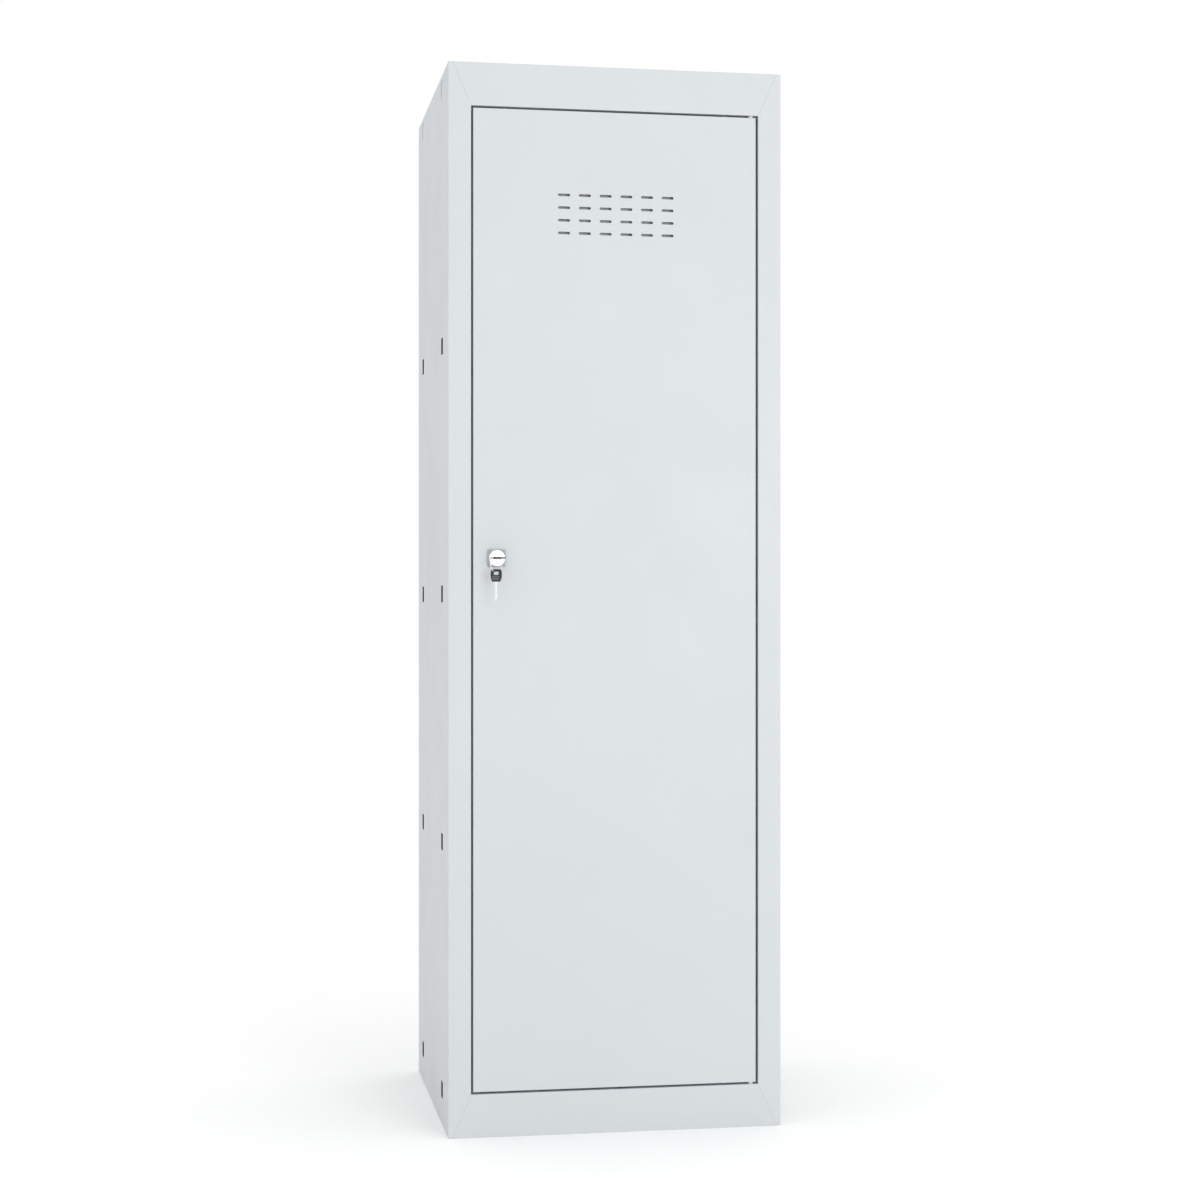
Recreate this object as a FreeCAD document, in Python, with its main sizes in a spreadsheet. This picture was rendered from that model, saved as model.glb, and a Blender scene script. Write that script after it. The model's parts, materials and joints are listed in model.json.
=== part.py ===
import FreeCAD, Part
import math
import os
import Sketcher

# A single-door sheet-steel locker. Millimetres, +Z up, +X to the right and +Y to the back as
# seen from the front. The origin is the centre of the carcass's footprint, on the floor.

doc = FreeCAD.newDocument("locker")
Vector = FreeCAD.Vector
Rotation = FreeCAD.Rotation

SIZES = {
    # carcass
    "width": 600,
    "depth": 550,
    "height": 1890,
    "gauge": 1,
    "weld_flange": 30,
    "rear_flange": 15,
    "roof_flange": 45,
    "floor_flange": 28,
    # front frame
    "left_stile_width": 40,
    "right_stile_width": 41.3,
    "rail_height": 76,
    "mitre_inset": 7,
    "rebate": 23,
    "stop_width": 15,
    # door
    "door_gap": 3.8,
    "hinge_gap": 4.4,
    "door_thickness": 18,
    "door_lip": 13,
    "fold_radius": 1.5,
    "stiffener_flange": 10,
    "stiffener_crown": 40,
    "stiffener_rise": 15,
    "stiffener_start": 110,
    "stiffener_end": 1560,
    # ventilation slots
    "vent_columns": 6,
    "vent_rows": 4,
    "vent_length": 21.5,
    "vent_width": 4.7,
    "vent_step_across": 37.4,
    "vent_step_up": 22.4,
    "vent_centre_height": 1627.7,
    "baffle_length": 217,
    "baffle_crown": 89,
    "baffle_flange": 10,
    "baffle_rise": 11,
    # square holes in the sides
    "side_hole": 30,
    "side_hole_step": 446.7,
    "side_hole_start": 62.4,
    "side_hole_top_inset": 24.6,
    "front_hole_inset": 108,
    "rear_hole_inset": 91,
    # pivots
    "pin_inset": 8,
    "pin_setback": 8,
    "pin_radius": 3,
    "pin_length": 32,
    "pin_chamfer": 1,
    "pin_hole_clearance": 0.3,
    "press_clearance": 0.02,
    "running_clearance": 0.05,
    "bush_radius": 5,
    "bush_flange_radius": 6.5,
    "bush_flange": 1.5,
    "washer_radius": 4.5,
    "washer_play": 0.1,
    "hinge_plate_thickness": 2.5,
    "hinge_plate_length": 40,
    "hinge_plate_inset": 1.5,
    "bracket_thickness": 3,
    "bracket_width": 14,
    "bracket_reach": 30,
    "bracket_drop": 42,
    # buttons between the door and its frame
    "glide_inset": 56.5,
    "glide_radius": 4,
    "glide_rise": 2.2,
    "glide_stem_radius": 2,
    "glide_stem": 6,
    "glide_stem_clearance": 0.1,
    "buffer_radius": 4,
    "buffer_rise": 3.6,
    "buffer_inset": 5,
    "buffer_count": 3,
    "buffer_step": 640,
    # wall fixing
    "wall_hole_radius": 4.5,
    "wall_hole_spread": 400,
    "wall_hole_rise": 1500,
    # interior
    "shelf_height": 1500,
    "shelf_lip": 25,
    "shelf_front_inset": 45,
    "shelf_side_gap": 3,
    "bearer_leg": 20,
    "bearer_thickness": 1.2,
    "bearer_length": 460,
    "bearer_setback": 10,
    "rivet_head": 1.2,
    "rivet_head_radius": 4.5,
    "rivet_count": 3,
    "rivet_step": 200,
    "coat_rail_height": 1430,
    "coat_rail_radius": 10,
    "coat_rail_wall": 1.2,
    "coat_rail_end_gap": 0.5,
    "socket_radius": 13,
    "socket_depth": 14,
    "socket_floor": 2,
    "socket_clearance": 0.2,
    "socket_plate_length": 56,
    "socket_plate_width": 28,
    "socket_screw_step": 42,
    "socket_screw_head": 2,
    "socket_screw_head_radius": 3.8,
    # lock
    "lock_inset": 41.2,
    "lock_height": 1018.5,
    "escutcheon_side": 31,
    "escutcheon_rise": 5,
    "escutcheon_corner": 1.5,
    "barrel_radius": 9.5,
    "barrel_length": 23,
    "barrel_clearance": 0.2,
    "lock_face_radius": 14.3,
    "lock_face_rise": 2.5,
    "lock_face_bevel": 0.8,
    "plug_radius": 6,
    "plug_face_rise": 1,
    "plug_overrun": 0.5,
    "backing_width": 40,
    "backing_height": 80,
    "backing_thickness": 2,
    "nut_flats": 24,
    "nut_thickness": 4,
    "cam_width": 16,
    "cam_thickness": 3,
    "cam_reach": 43,
    "cam_square": 7,
    "cam_gap": 1,
    "cam_screw_radius": 2.5,
    "cam_screw_head_radius": 5,
    "cam_screw_head": 3,
    "cam_screw_length": 8,
    "strike_thickness": 2,
    "strike_height": 70,
    "strike_width": 12,
    # keys
    "shoulder_width": 7.6,
    "shoulder_length": 3,
    "blade_width": 5.2,
    "blade_thickness": 2,
    "blade_clearance": 0.15,
    "blade_insertion": 26,
    "blade_tip": 2,
    "blade_tip_gap": 0.5,
    "shank_length": 6,
    "bow_width": 25,
    "bow_foot": 17,
    "bow_length": 22,
    "bow_thickness": 3,
    "bow_corner": 4,
    "eye_width": 13,
    "eye_length": 5.6,
    "eye_margin": 4.3,
    "eye_to_blade": 2,
    "ring_radius": 14.2,
    "ring_wire_radius": 0.8,
    "ring_yaw": 50,
    "ring_sideways": 5,
    "ring_forward": 0.4,
    "ring_rest": 1,
    "spare_rest": 0.25,
}


def make_sheet():
    sheet = doc.addObject("Spreadsheet::Sheet", "sizes")
    for row, (name, number) in enumerate(SIZES.items(), start=1):
        sheet.set(f"A{row}", name)
        sheet.set(f"B{row}", str(number))
        sheet.setAlias(f"B{row}", name)
    doc.recompute()
    return sheet


sheet = make_sheet()


def value(expression):
    """The number that an expression over the sheet has now."""
    return float(sheet.evalExpression(str(expression)))


# Places that several pieces share, as expressions over the sheet.

LEFT = "(-sizes.width / 2)"
RIGHT = "(sizes.width / 2)"
FRONT = "(-sizes.depth / 2)"
BACK = "(sizes.depth / 2)"
TOP = "sizes.height"
GAUGE = "sizes.gauge"

OPENING_LEFT = f"({LEFT} + sizes.left_stile_width)"
OPENING_RIGHT = f"({RIGHT} - sizes.right_stile_width)"
OPENING_BOTTOM = "sizes.rail_height"
OPENING_TOP = f"({TOP} - sizes.rail_height)"
STOP_FRONT = f"({FRONT} + sizes.rebate - {GAUGE})"
STOP_BACK = f"({FRONT} + sizes.rebate)"

DOOR_LEFT = f"({OPENING_LEFT} + sizes.door_gap)"
DOOR_RIGHT = f"({OPENING_RIGHT} - sizes.hinge_gap)"
DOOR_BOTTOM = f"({OPENING_BOTTOM} + sizes.door_gap)"
DOOR_TOP = f"({OPENING_TOP} - sizes.door_gap)"
DOOR_BACK = f"({FRONT} + sizes.door_thickness)"
DOOR_MIDDLE = f"(({DOOR_LEFT} + {DOOR_RIGHT}) / 2)"

PIN_X = f"({DOOR_RIGHT} - sizes.pin_inset)"
PIN_Y = f"({FRONT} + sizes.pin_setback)"
GLIDE_LEFT = f"({DOOR_LEFT} + sizes.glide_inset)"
GLIDE_RIGHT = f"({DOOR_RIGHT} - sizes.glide_inset)"

LOCK_X = f"({DOOR_LEFT} + sizes.lock_inset)"
LOCK_Z = "sizes.lock_height"
LOCK_FACE_BACK = f"({FRONT} - sizes.escutcheon_rise)"
LOCK_FACE_FRONT = f"({LOCK_FACE_BACK} - sizes.lock_face_rise)"
PLUG_FRONT = f"({LOCK_FACE_FRONT} - sizes.plug_face_rise)"
STRIKE_BACK = f"({STOP_BACK} + sizes.strike_thickness)"
CAM_FRONT = f"({STRIKE_BACK} + sizes.cam_gap)"
CAM_BACK = f"({CAM_FRONT} + sizes.cam_thickness)"

SHELF_FRONT = f"({FRONT} + sizes.shelf_front_inset)"
BEARER_FRONT = f"({SHELF_FRONT} + sizes.bearer_setback)"

BOW_FOOT_Y = f"({PLUG_FRONT} - sizes.shank_length)"

subparts = []


def named(feature, label):
    """Registers a document object as one sub-part."""
    feature.Label = label
    subparts.append(feature)
    return feature


def bind(feature, **expressions):
    """Binds properties such as Length, or Placement.Base.x written Placement_Base_x."""
    for name, expression in expressions.items():
        feature.setExpression(name.replace("_", "."), str(expression))


# Sketches on a body's own origin planes. Plane "XZ" has its normal towards the front, -Y.

def new_body(label):
    return named(doc.addObject("PartDesign::Body", label), label)


def new_sketch(body, plane, height="0"):
    """A sketch on an origin plane, moved along the plane's normal by height."""
    sketch = body.newObject("Sketcher::SketchObject", f"{body.Name}_sketch")
    planes = {feature.Role: feature for feature in body.Origin.OriginFeatures}
    sketch.AttachmentSupport = [(planes[f"{plane}_Plane"], "")]
    sketch.MapMode = "FlatFace"
    sketch.setExpression(".AttachmentOffset.Base.z", str(height))
    return sketch


def fix_point(sketch, geometry, point, x, y):
    """Holds one point of a sketch at two expressions."""
    for kind, expression in (("DistanceX", x), ("DistanceY", y)):
        distance = Sketcher.Constraint(kind, -1, 1, geometry, point, value(expression))
        index = sketch.addConstraint(distance)
        sketch.setExpression(f"Constraints[{index}]", expression)


def outline(sketch, corners):
    """A closed outline of straight lines through corners, given as pairs of expressions."""
    points = [Vector(value(x), value(y), 0) for x, y in corners]
    first = sketch.GeometryCount
    for start, end in zip(points, points[1:] + points[:1]):
        sketch.addGeometry(Part.LineSegment(start, end))
    count = len(points)
    for index, (x, y) in enumerate(corners):
        following = first + (index + 1) % count
        sketch.addConstraint(Sketcher.Constraint("Coincident", first + index, 2, following, 1))
        fix_point(sketch, first + index, 1, x, y)


def rectangle(sketch, x_low, x_high, y_low, y_high):
    outline(sketch, [(x_low, y_low), (x_high, y_low), (x_high, y_high), (x_low, y_high)])


def square(sketch, x, y, side):
    """A square centred on a point."""
    rectangle(sketch, f"{x} - {side} / 2", f"{x} + {side} / 2", f"{y} - {side} / 2", f"{y} + {side} / 2")


def circle(sketch, x, y, radius):
    centre = Vector(value(x), value(y), 0)
    index = sketch.addGeometry(Part.Circle(centre, Vector(0, 0, 1), value(radius)))
    fix_point(sketch, index, 3, x, y)
    size = sketch.addConstraint(Sketcher.Constraint("Radius", index, value(radius)))
    sketch.setExpression(f"Constraints[{size}]", str(radius))


def rounded_slot(sketch, x, y, length, width):
    """A horizontal slot with half-round ends, centred on a point."""
    radius = value(width) / 2
    half = value(length) / 2 - radius
    quarter = math.pi / 2
    centre = Vector(value(x), value(y), 0)
    across = Vector(half, 0, 0)
    rise = Vector(0, radius, 0)
    normal = Vector(0, 0, 1)
    right = Part.ArcOfCircle(Part.Circle(centre + across, normal, radius), -quarter, quarter)
    upper = Part.LineSegment(centre + across + rise, centre - across + rise)
    left = Part.ArcOfCircle(Part.Circle(centre - across, normal, radius), quarter, 3 * quarter)
    lower = Part.LineSegment(centre - across - rise, centre + across - rise)
    loop = [sketch.addGeometry(piece) for piece in (right, upper, left, lower)]
    for one, following in zip(loop, loop[1:] + loop[:1]):
        sketch.addConstraint(Sketcher.Constraint("Tangent", one, 2, following, 1))
    fix_point(sketch, loop[0], 3, f"{x} + ({length} - {width}) / 2", y)
    fix_point(sketch, loop[2], 3, f"{x} - ({length} - {width}) / 2", y)
    size = sketch.addConstraint(Sketcher.Constraint("Radius", loop[0], radius))
    sketch.setExpression(f"Constraints[{size}]", f"{width} / 2")


def pad(body, sketch, length):
    """Adds material along the sketch plane's normal."""
    feature = body.newObject("PartDesign::Pad", f"{body.Name}_pad")
    feature.Profile = sketch
    feature.setExpression("Length", str(length))
    doc.recompute()
    return feature


def pocket(body, sketch, length):
    """Takes material away along the sketch plane's normal, and insists that it took some."""
    before = body.Shape.Volume
    feature = body.newObject("PartDesign::Pocket", f"{body.Name}_pocket")
    feature.Profile = sketch
    feature.Reversed = True
    feature.setExpression("Length", str(length))
    doc.recompute()
    if body.Shape.Volume > before - 1e-6:
        raise RuntimeError(f"{feature.Name} cut nothing")
    return feature


def revolve(body, sketch):
    """Turns a half section about the sketch's vertical axis."""
    feature = body.newObject("PartDesign::Revolution", f"{body.Name}_revolution")
    feature.Profile = sketch
    feature.ReferenceAxis = (sketch, ["V_Axis"])
    doc.recompute()
    return feature


def fillet(body, base, edges, radius):
    feature = body.newObject("PartDesign::Fillet", f"{body.Name}_fillet")
    feature.Base = (base, edges)
    feature.setExpression("Radius", str(radius))
    doc.recompute()
    return feature


def edges_where(shape, test):
    """Names of the edges that pass a test of their two ends."""
    found = []
    for index, edge in enumerate(shape.Edges, start=1):
        start, end = [vertex.Point for vertex in edge.Vertexes]
        if test(start, end):
            found.append(f"Edge{index}")
    return found


def box_solid(name, x_low, x_high, y_low, y_high, z_low, z_high):
    """A plain box between six expressions."""
    box = doc.addObject("Part::Box", name)
    bind(
        box,
        Length=f"{x_high} - {x_low}",
        Width=f"{y_high} - {y_low}",
        Height=f"{z_high} - {z_low}",
        Placement_Base_x=x_low,
        Placement_Base_y=y_low,
        Placement_Base_z=z_low,
    )
    return box


def cylinder(name, radius, length, x, y, z, direction=Vector(0, 0, 1)):
    """A cylinder that starts at a point and runs along a direction."""
    solid = doc.addObject("Part::Cylinder", name)
    solid.Placement = FreeCAD.Placement(Vector(), Rotation(Vector(0, 0, 1), direction))
    bind(
        solid,
        Radius=radius,
        Height=length,
        Placement_Base_x=x,
        Placement_Base_y=y,
        Placement_Base_z=z,
    )
    return solid


def fused(label, solids):
    union = doc.addObject("Part::MultiFuse", label)
    union.Shapes = solids
    return union


def cut(label, base, tool):
    difference = doc.addObject("Part::Cut", label)
    difference.Base = base
    difference.Tool = tool
    return difference


def group(label, solids):
    """Identical separate pieces that share one node."""
    compound = doc.addObject("Part::Compound", label)
    compound.Links = solids
    return named(compound, label)


# Carcass

def side_holes():
    """Centres of the square holes as (distance from the front, height) expressions."""
    heights = [f"(sizes.side_hole_start + {level} * sizes.side_hole_step)" for level in range(4)]
    heights.append(f"({TOP} - sizes.side_hole_top_inset)")
    columns = (f"({FRONT} + sizes.front_hole_inset)", f"({BACK} - sizes.rear_hole_inset)")
    return [(column, height) for column in columns for height in heights]


def side_panel(label, outer, inward):
    """Flat sheet with a rear weld flange; inward is +1 on the left and -1 on the right."""
    body = new_body(label)
    inner = f"({outer} + {inward} * {GAUGE})"
    flange_end = f"({outer} + {inward} * sizes.rear_flange)"
    front = f"({FRONT} + {GAUGE})"
    back = f"({BACK} - {GAUGE})"
    flange_front = f"({back} - {GAUGE})"
    section = new_sketch(body, "XY")
    outline(section, [
        (outer, front),
        (inner, front),
        (inner, flange_front),
        (flange_end, flange_front),
        (flange_end, back),
        (outer, back),
    ])
    pad(body, section, TOP)
    holes = new_sketch(body, "YZ", f"{LEFT} - {GAUGE}")
    for across, up in side_holes():
        square(holes, across, up, "sizes.side_hole")
    pocket(body, holes, f"sizes.width + 2 * {GAUGE}")
    return body


def back_panel():
    body = new_body("back_panel")
    sheet_outline = new_sketch(body, "XZ", f"-{BACK}")
    rectangle(sheet_outline, LEFT, RIGHT, "0", TOP)
    pad(body, sheet_outline, GAUGE)
    holes = new_sketch(body, "XZ", f"-{BACK} - {GAUGE}")
    for side in (-1, 1):
        for level in (-1, 1):
            across = f"{side} * sizes.wall_hole_spread / 2"
            up = f"{TOP} / 2 + {level} * sizes.wall_hole_rise / 2"
            circle(holes, across, up, "sizes.wall_hole_radius")
    pocket(body, holes, f"3 * {GAUGE}")


def tray(label, flange_low, flange_high, hollow_low, hollow_high):
    """A sheet with flanges along both sides and the back, notched for the stiles' weld flanges."""
    body = new_body(label)
    front = f"({FRONT} + {GAUGE})"
    outside = new_sketch(body, "XY", flange_low)
    x_low = f"({LEFT} + {GAUGE})"
    x_high = f"({RIGHT} - {GAUGE})"
    y_high = f"({BACK} - 2 * {GAUGE})"
    rectangle(outside, x_low, x_high, front, y_high)
    pad(body, outside, f"{flange_high} - {flange_low}")
    inside = new_sketch(body, "XY", hollow_low)
    rectangle(inside, f"{x_low} + {GAUGE}", f"{x_high} - {GAUGE}", f"{front} - 1", f"{y_high} - {GAUGE}")
    pocket(body, inside, f"{hollow_high} - {hollow_low}")
    reliefs = new_sketch(body, "XY", flange_low)
    relief_end = f"({front} + sizes.weld_flange)"
    rectangle(reliefs, x_low, f"{x_low} + {GAUGE}", f"{front} - 1", relief_end)
    rectangle(reliefs, f"{x_high} - {GAUGE}", x_high, f"{front} - 1", relief_end)
    pocket(body, reliefs, f"{flange_high} - {flange_low}")


def top_panel():
    """Roof sheet; its flanges close the uppermost pair of square holes from inside."""
    low = f"({TOP} - sizes.roof_flange)"
    tray("top_panel", low, TOP, low, f"({TOP} - {GAUGE})")


def floor_panel():
    """Floor sheet that stands on the ground, with upturned flanges."""
    tray("floor_panel", "0", "sizes.floor_flange", GAUGE, "sizes.floor_flange")


# Front frame. Each member is a folded section: a weld flange against the carcass, the face,
# the return into the door opening and the stop that stands behind the door's edge.

def folded_section(outer, opening, inward):
    """Section corners as (across, depth) pairs; inward points from the outside to the opening."""
    skin = f"{inward} * {GAUGE}"
    weld_back = f"({FRONT} + sizes.weld_flange)"
    face_back = f"({FRONT} + {GAUGE})"
    return [
        (outer, FRONT),
        (opening, FRONT),
        (opening, STOP_FRONT),
        (f"{opening} + {inward} * sizes.stop_width", STOP_FRONT),
        (f"{opening} + {inward} * sizes.stop_width", STOP_BACK),
        (f"{opening} - {skin}", STOP_BACK),
        (f"{opening} - {skin}", face_back),
        (f"{outer} + 2 * {skin}", face_back),
        (f"{outer} + 2 * {skin}", weld_back),
        (f"{outer} + {skin}", weld_back),
        (f"{outer} + {skin}", face_back),
        (outer, face_back),
    ]


def stile(label, outer, opening, inward):
    """Upright of the frame, mitred where it meets the rails."""
    body = new_body(label)
    section = new_sketch(body, "XY")
    outline(section, folded_section(outer, opening, inward))
    pad(body, section, TOP)
    mitres = new_sketch(body, "XZ", f"-{BACK}")
    start = f"{outer} + {inward} * sizes.mitre_inset"
    beyond = f"{opening} + {inward} * 2 * sizes.stop_width"
    for edge, rail_edge, side in (("0", OPENING_BOTTOM, 1), (TOP, OPENING_TOP, -1)):
        outline(mitres, [
            (start, f"{edge} - {side}"),
            (start, edge),
            (opening, rail_edge),
            (beyond, f"{rail_edge} + {side} * 2 * sizes.stop_width"),
            (beyond, f"{edge} - {side}"),
        ])
    pocket(body, mitres, f"sizes.depth + 2 * {GAUGE}")


def rail(label, outer, opening, inward):
    """Cross member of the frame, mitred to meet the stiles."""
    body = new_body(label)
    section = new_sketch(body, "YZ", LEFT)
    outline(section, [(depth, across) for across, depth in folded_section(outer, opening, inward)])
    pad(body, section, "sizes.width")
    mitres = new_sketch(body, "XZ", f"-{BACK}")
    beyond = f"{opening} + {inward} * 2 * sizes.stop_width"
    past_outer = f"{outer} - {inward}"
    for edge, stile_edge, side in ((LEFT, OPENING_LEFT, 1), (RIGHT, OPENING_RIGHT, -1)):
        start = f"{edge} + {side} * sizes.mitre_inset"
        outline(mitres, [
            (f"{edge} - {side}", past_outer),
            (start, past_outer),
            (start, outer),
            (stile_edge, opening),
            (f"{stile_edge} + {side} * 2 * sizes.stop_width", beyond),
            (f"{edge} - {side}", beyond),
        ])
    pocket(body, mitres, f"sizes.depth + 2 * {GAUGE}")
    bore = new_sketch(body, "XY", f"{opening} - 2 * {GAUGE}")
    circle(bore, PIN_X, PIN_Y, "sizes.bush_radius + sizes.running_clearance")
    pocket(body, bore, f"4 * {GAUGE}")


def strike_plate():
    """Thick strip behind the left stile's stop, where the cam bears."""
    box = box_solid(
        "strike_plate",
        f"({OPENING_LEFT} + sizes.stop_width - sizes.strike_width)",
        f"({OPENING_LEFT} + sizes.stop_width)",
        STOP_BACK,
        STRIKE_BACK,
        f"({LOCK_Z} - sizes.strike_height / 2)",
        f"({LOCK_Z} + sizes.strike_height / 2)",
    )
    named(box, "strike_plate")


def door_buffers():
    """Rubber buttons on the left stile's stop, each slightly short of the closed door."""
    buttons = []
    for index in range(int(value("sizes.buffer_count"))):
        button = cylinder(
            f"buffer_{index}",
            "sizes.buffer_radius",
            "sizes.buffer_rise",
            f"({OPENING_LEFT} + sizes.stop_width - sizes.buffer_inset)",
            STOP_FRONT,
            f"({TOP} / 2 + ({index} - (sizes.buffer_count - 1) / 2) * sizes.buffer_step)",
            Vector(0, -1, 0),
        )
        buttons.append(button)
    group("door_buffers", buttons)


# Pivots. Each function takes the opening's edge and the way out of the opening, +1 up, -1 down.

def hinge_plate(label, opening, outward):
    """Stiffening plate on the hidden side of a rail's return, bored for the bush."""
    body = new_body(label)
    face = f"({opening} + {outward} * {GAUGE})"
    low = face if outward > 0 else f"({face} - sizes.hinge_plate_thickness)"
    section = new_sketch(body, "XY", low)
    inset = "sizes.hinge_plate_inset"
    x_high = f"({OPENING_RIGHT} - {inset})"
    x_low = f"({x_high} - sizes.hinge_plate_length)"
    rectangle(section, x_low, x_high, f"{FRONT} + {inset}", f"{STOP_FRONT} - {inset}")
    circle(section, PIN_X, PIN_Y, "sizes.bush_radius + sizes.running_clearance")
    pad(body, section, "sizes.hinge_plate_thickness")


def hinge_bush(label, opening, outward):
    """Flanged nylon sleeve through the rail's return and its plate."""
    body = new_body(label)
    bind(body, Placement_Base_x=PIN_X, Placement_Base_y=PIN_Y, Placement_Base_z=opening)
    section = new_sketch(body, "XZ")
    bore = "(sizes.pin_radius + sizes.running_clearance)"
    shoulder = f"{outward} * ({GAUGE} + sizes.hinge_plate_thickness)"
    end = f"{outward} * ({GAUGE} + sizes.hinge_plate_thickness + sizes.bush_flange)"
    outline(section, [
        (bore, "0"),
        ("sizes.bush_radius", "0"),
        ("sizes.bush_radius", shoulder),
        ("sizes.bush_flange_radius", shoulder),
        ("sizes.bush_flange_radius", end),
        (bore, end),
    ])
    revolve(body, section)


def hinge_washer(label, low):
    """Nylon washer round a pin, a hair thinner than the gap between the door and the rail."""
    place = (PIN_X, PIN_Y, low)
    thickness = "sizes.door_gap - sizes.washer_play"
    disc = cylinder(f"{label}_disc", "sizes.washer_radius", thickness, *place)
    bore_radius = "sizes.pin_radius + 2 * sizes.running_clearance"
    bore = cylinder(f"{label}_bore", bore_radius, "sizes.door_gap", *place)
    named(cut(label, disc, bore), label)


def hinge_pin(label, door_edge, outward):
    """Steel pin held in the door's bracket, with a chamfered free end."""
    body = new_body(label)
    bind(body, Placement_Base_x=PIN_X, Placement_Base_y=PIN_Y, Placement_Base_z=door_edge)
    section = new_sketch(body, "XZ")
    hidden = f"{-outward} * (sizes.pin_length / 2)"
    free = f"{outward} * (sizes.pin_length / 2)"
    outline(section, [
        ("0", hidden),
        ("sizes.pin_radius", hidden),
        ("sizes.pin_radius", f"{free} - {outward} * sizes.pin_chamfer"),
        ("sizes.pin_radius - sizes.pin_chamfer", free),
        ("0", free),
    ])
    revolve(body, section)


def pivot_bracket(label, door_edge, outward):
    """Angle inside the door's corner that holds a pin."""
    body = new_body(label)
    outer = f"({door_edge} - {outward} * {GAUGE})"
    inner = f"({outer} - {outward} * sizes.bracket_thickness)"
    foot = f"({outer} - {outward} * sizes.bracket_drop)"
    right = f"({DOOR_RIGHT} - {GAUGE})"
    leg = f"({right} - sizes.bracket_thickness)"
    reach = f"({right} - sizes.bracket_reach)"
    section = new_sketch(body, "XZ", f"-({FRONT} + {GAUGE} + sizes.bracket_width)")
    outline(section, [
        (reach, outer),
        (right, outer),
        (right, foot),
        (leg, foot),
        (leg, inner),
        (reach, inner),
    ])
    pad(body, section, "sizes.bracket_width")
    bore = new_sketch(body, "XY", f"{outer} - 2 * sizes.bracket_thickness")
    circle(bore, PIN_X, PIN_Y, "sizes.pin_radius + sizes.press_clearance")
    pocket(body, bore, "4 * sizes.bracket_thickness")


# Door

def vent_slots(body):
    """Rows and columns of punched slots, centred across the door."""
    slots = new_sketch(body, "XZ", f"-({FRONT} + 2 * {GAUGE})")
    for column in range(int(value("sizes.vent_columns"))):
        across = f"{DOOR_MIDDLE} + ({column} - (sizes.vent_columns - 1) / 2) * sizes.vent_step_across"
        for row in range(int(value("sizes.vent_rows"))):
            up = f"sizes.vent_centre_height + ({row} - (sizes.vent_rows - 1) / 2) * sizes.vent_step_up"
            rounded_slot(slots, across, up, "sizes.vent_length", "sizes.vent_width")
    pocket(body, slots, f"3 * {GAUGE}")


def door_skin():
    """Folded pan: face, four returns and the lips that stiffen their rear edges."""
    body = new_body("door_skin")
    face = new_sketch(body, "XZ", f"-{DOOR_BACK}")
    rectangle(face, DOOR_LEFT, DOOR_RIGHT, DOOR_BOTTOM, DOOR_TOP)
    block = pad(body, face, "sizes.door_thickness")
    front = value(FRONT)
    front_edges = edges_where(block.Shape, lambda start, end: max(start.y, end.y) < front + 0.01)
    fillet(body, block, front_edges, "sizes.fold_radius")
    hollow = new_sketch(body, "XZ", f"-({DOOR_BACK} - {GAUGE})")
    rectangle(
        hollow,
        f"{DOOR_LEFT} + {GAUGE}",
        f"{DOOR_RIGHT} - {GAUGE}",
        f"{DOOR_BOTTOM} + {GAUGE}",
        f"{DOOR_TOP} - {GAUGE}",
    )
    pocket(body, hollow, f"sizes.door_thickness - 2 * {GAUGE}")
    mouth = new_sketch(body, "XZ", f"-({DOOR_BACK} + {GAUGE})")
    rectangle(
        mouth,
        f"{DOOR_LEFT} + sizes.door_lip",
        f"{DOOR_RIGHT} - sizes.door_lip",
        f"{DOOR_BOTTOM} + sizes.door_lip",
        f"{DOOR_TOP} - sizes.door_lip",
    )
    pocket(body, mouth, f"3 * {GAUGE}")
    lock_hole = new_sketch(body, "XZ", f"-({FRONT} + 2 * {GAUGE})")
    circle(lock_hole, LOCK_X, LOCK_Z, "sizes.barrel_radius + sizes.barrel_clearance")
    pocket(body, lock_hole, f"3 * {GAUGE}")
    edge_holes = new_sketch(body, "XY", "0")
    circle(edge_holes, PIN_X, PIN_Y, "sizes.pin_radius + sizes.pin_hole_clearance")
    for across in (GLIDE_LEFT, GLIDE_RIGHT):
        circle(edge_holes, across, PIN_Y, "sizes.glide_stem_radius + sizes.glide_stem_clearance")
    pocket(body, edge_holes, TOP)
    vent_slots(body)


def hat_section(middle, half_crown, flange, rise):
    """Corners of a top-hat channel on the back of the door's face, as (across, depth) pairs."""
    near = f"({FRONT} + {GAUGE})"
    far = f"({near} + {rise})"
    rim = f"({half_crown} + {flange})"
    return [
        (f"{middle} - {rim}", near),
        (f"{middle} - {half_crown} + {GAUGE}", near),
        (f"{middle} - {half_crown} + {GAUGE}", f"{far} - {GAUGE}"),
        (f"{middle} + {half_crown} - {GAUGE}", f"{far} - {GAUGE}"),
        (f"{middle} + {half_crown} - {GAUGE}", near),
        (f"{middle} + {rim}", near),
        (f"{middle} + {rim}", f"{near} + {GAUGE}"),
        (f"{middle} + {half_crown}", f"{near} + {GAUGE}"),
        (f"{middle} + {half_crown}", far),
        (f"{middle} - {half_crown}", far),
        (f"{middle} - {half_crown}", f"{near} + {GAUGE}"),
        (f"{middle} - {rim}", f"{near} + {GAUGE}"),
    ]


def door_stiffener():
    """Top-hat channel down the middle of the door, below the vents."""
    body = new_body("door_stiffener")
    half_crown = "(sizes.stiffener_crown / 2)"
    flange = "sizes.stiffener_flange"
    section = new_sketch(body, "XY", "sizes.stiffener_start")
    outline(section, hat_section(DOOR_MIDDLE, half_crown, flange, "sizes.stiffener_rise"))
    pad(body, section, "sizes.stiffener_end - sizes.stiffener_start")


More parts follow.
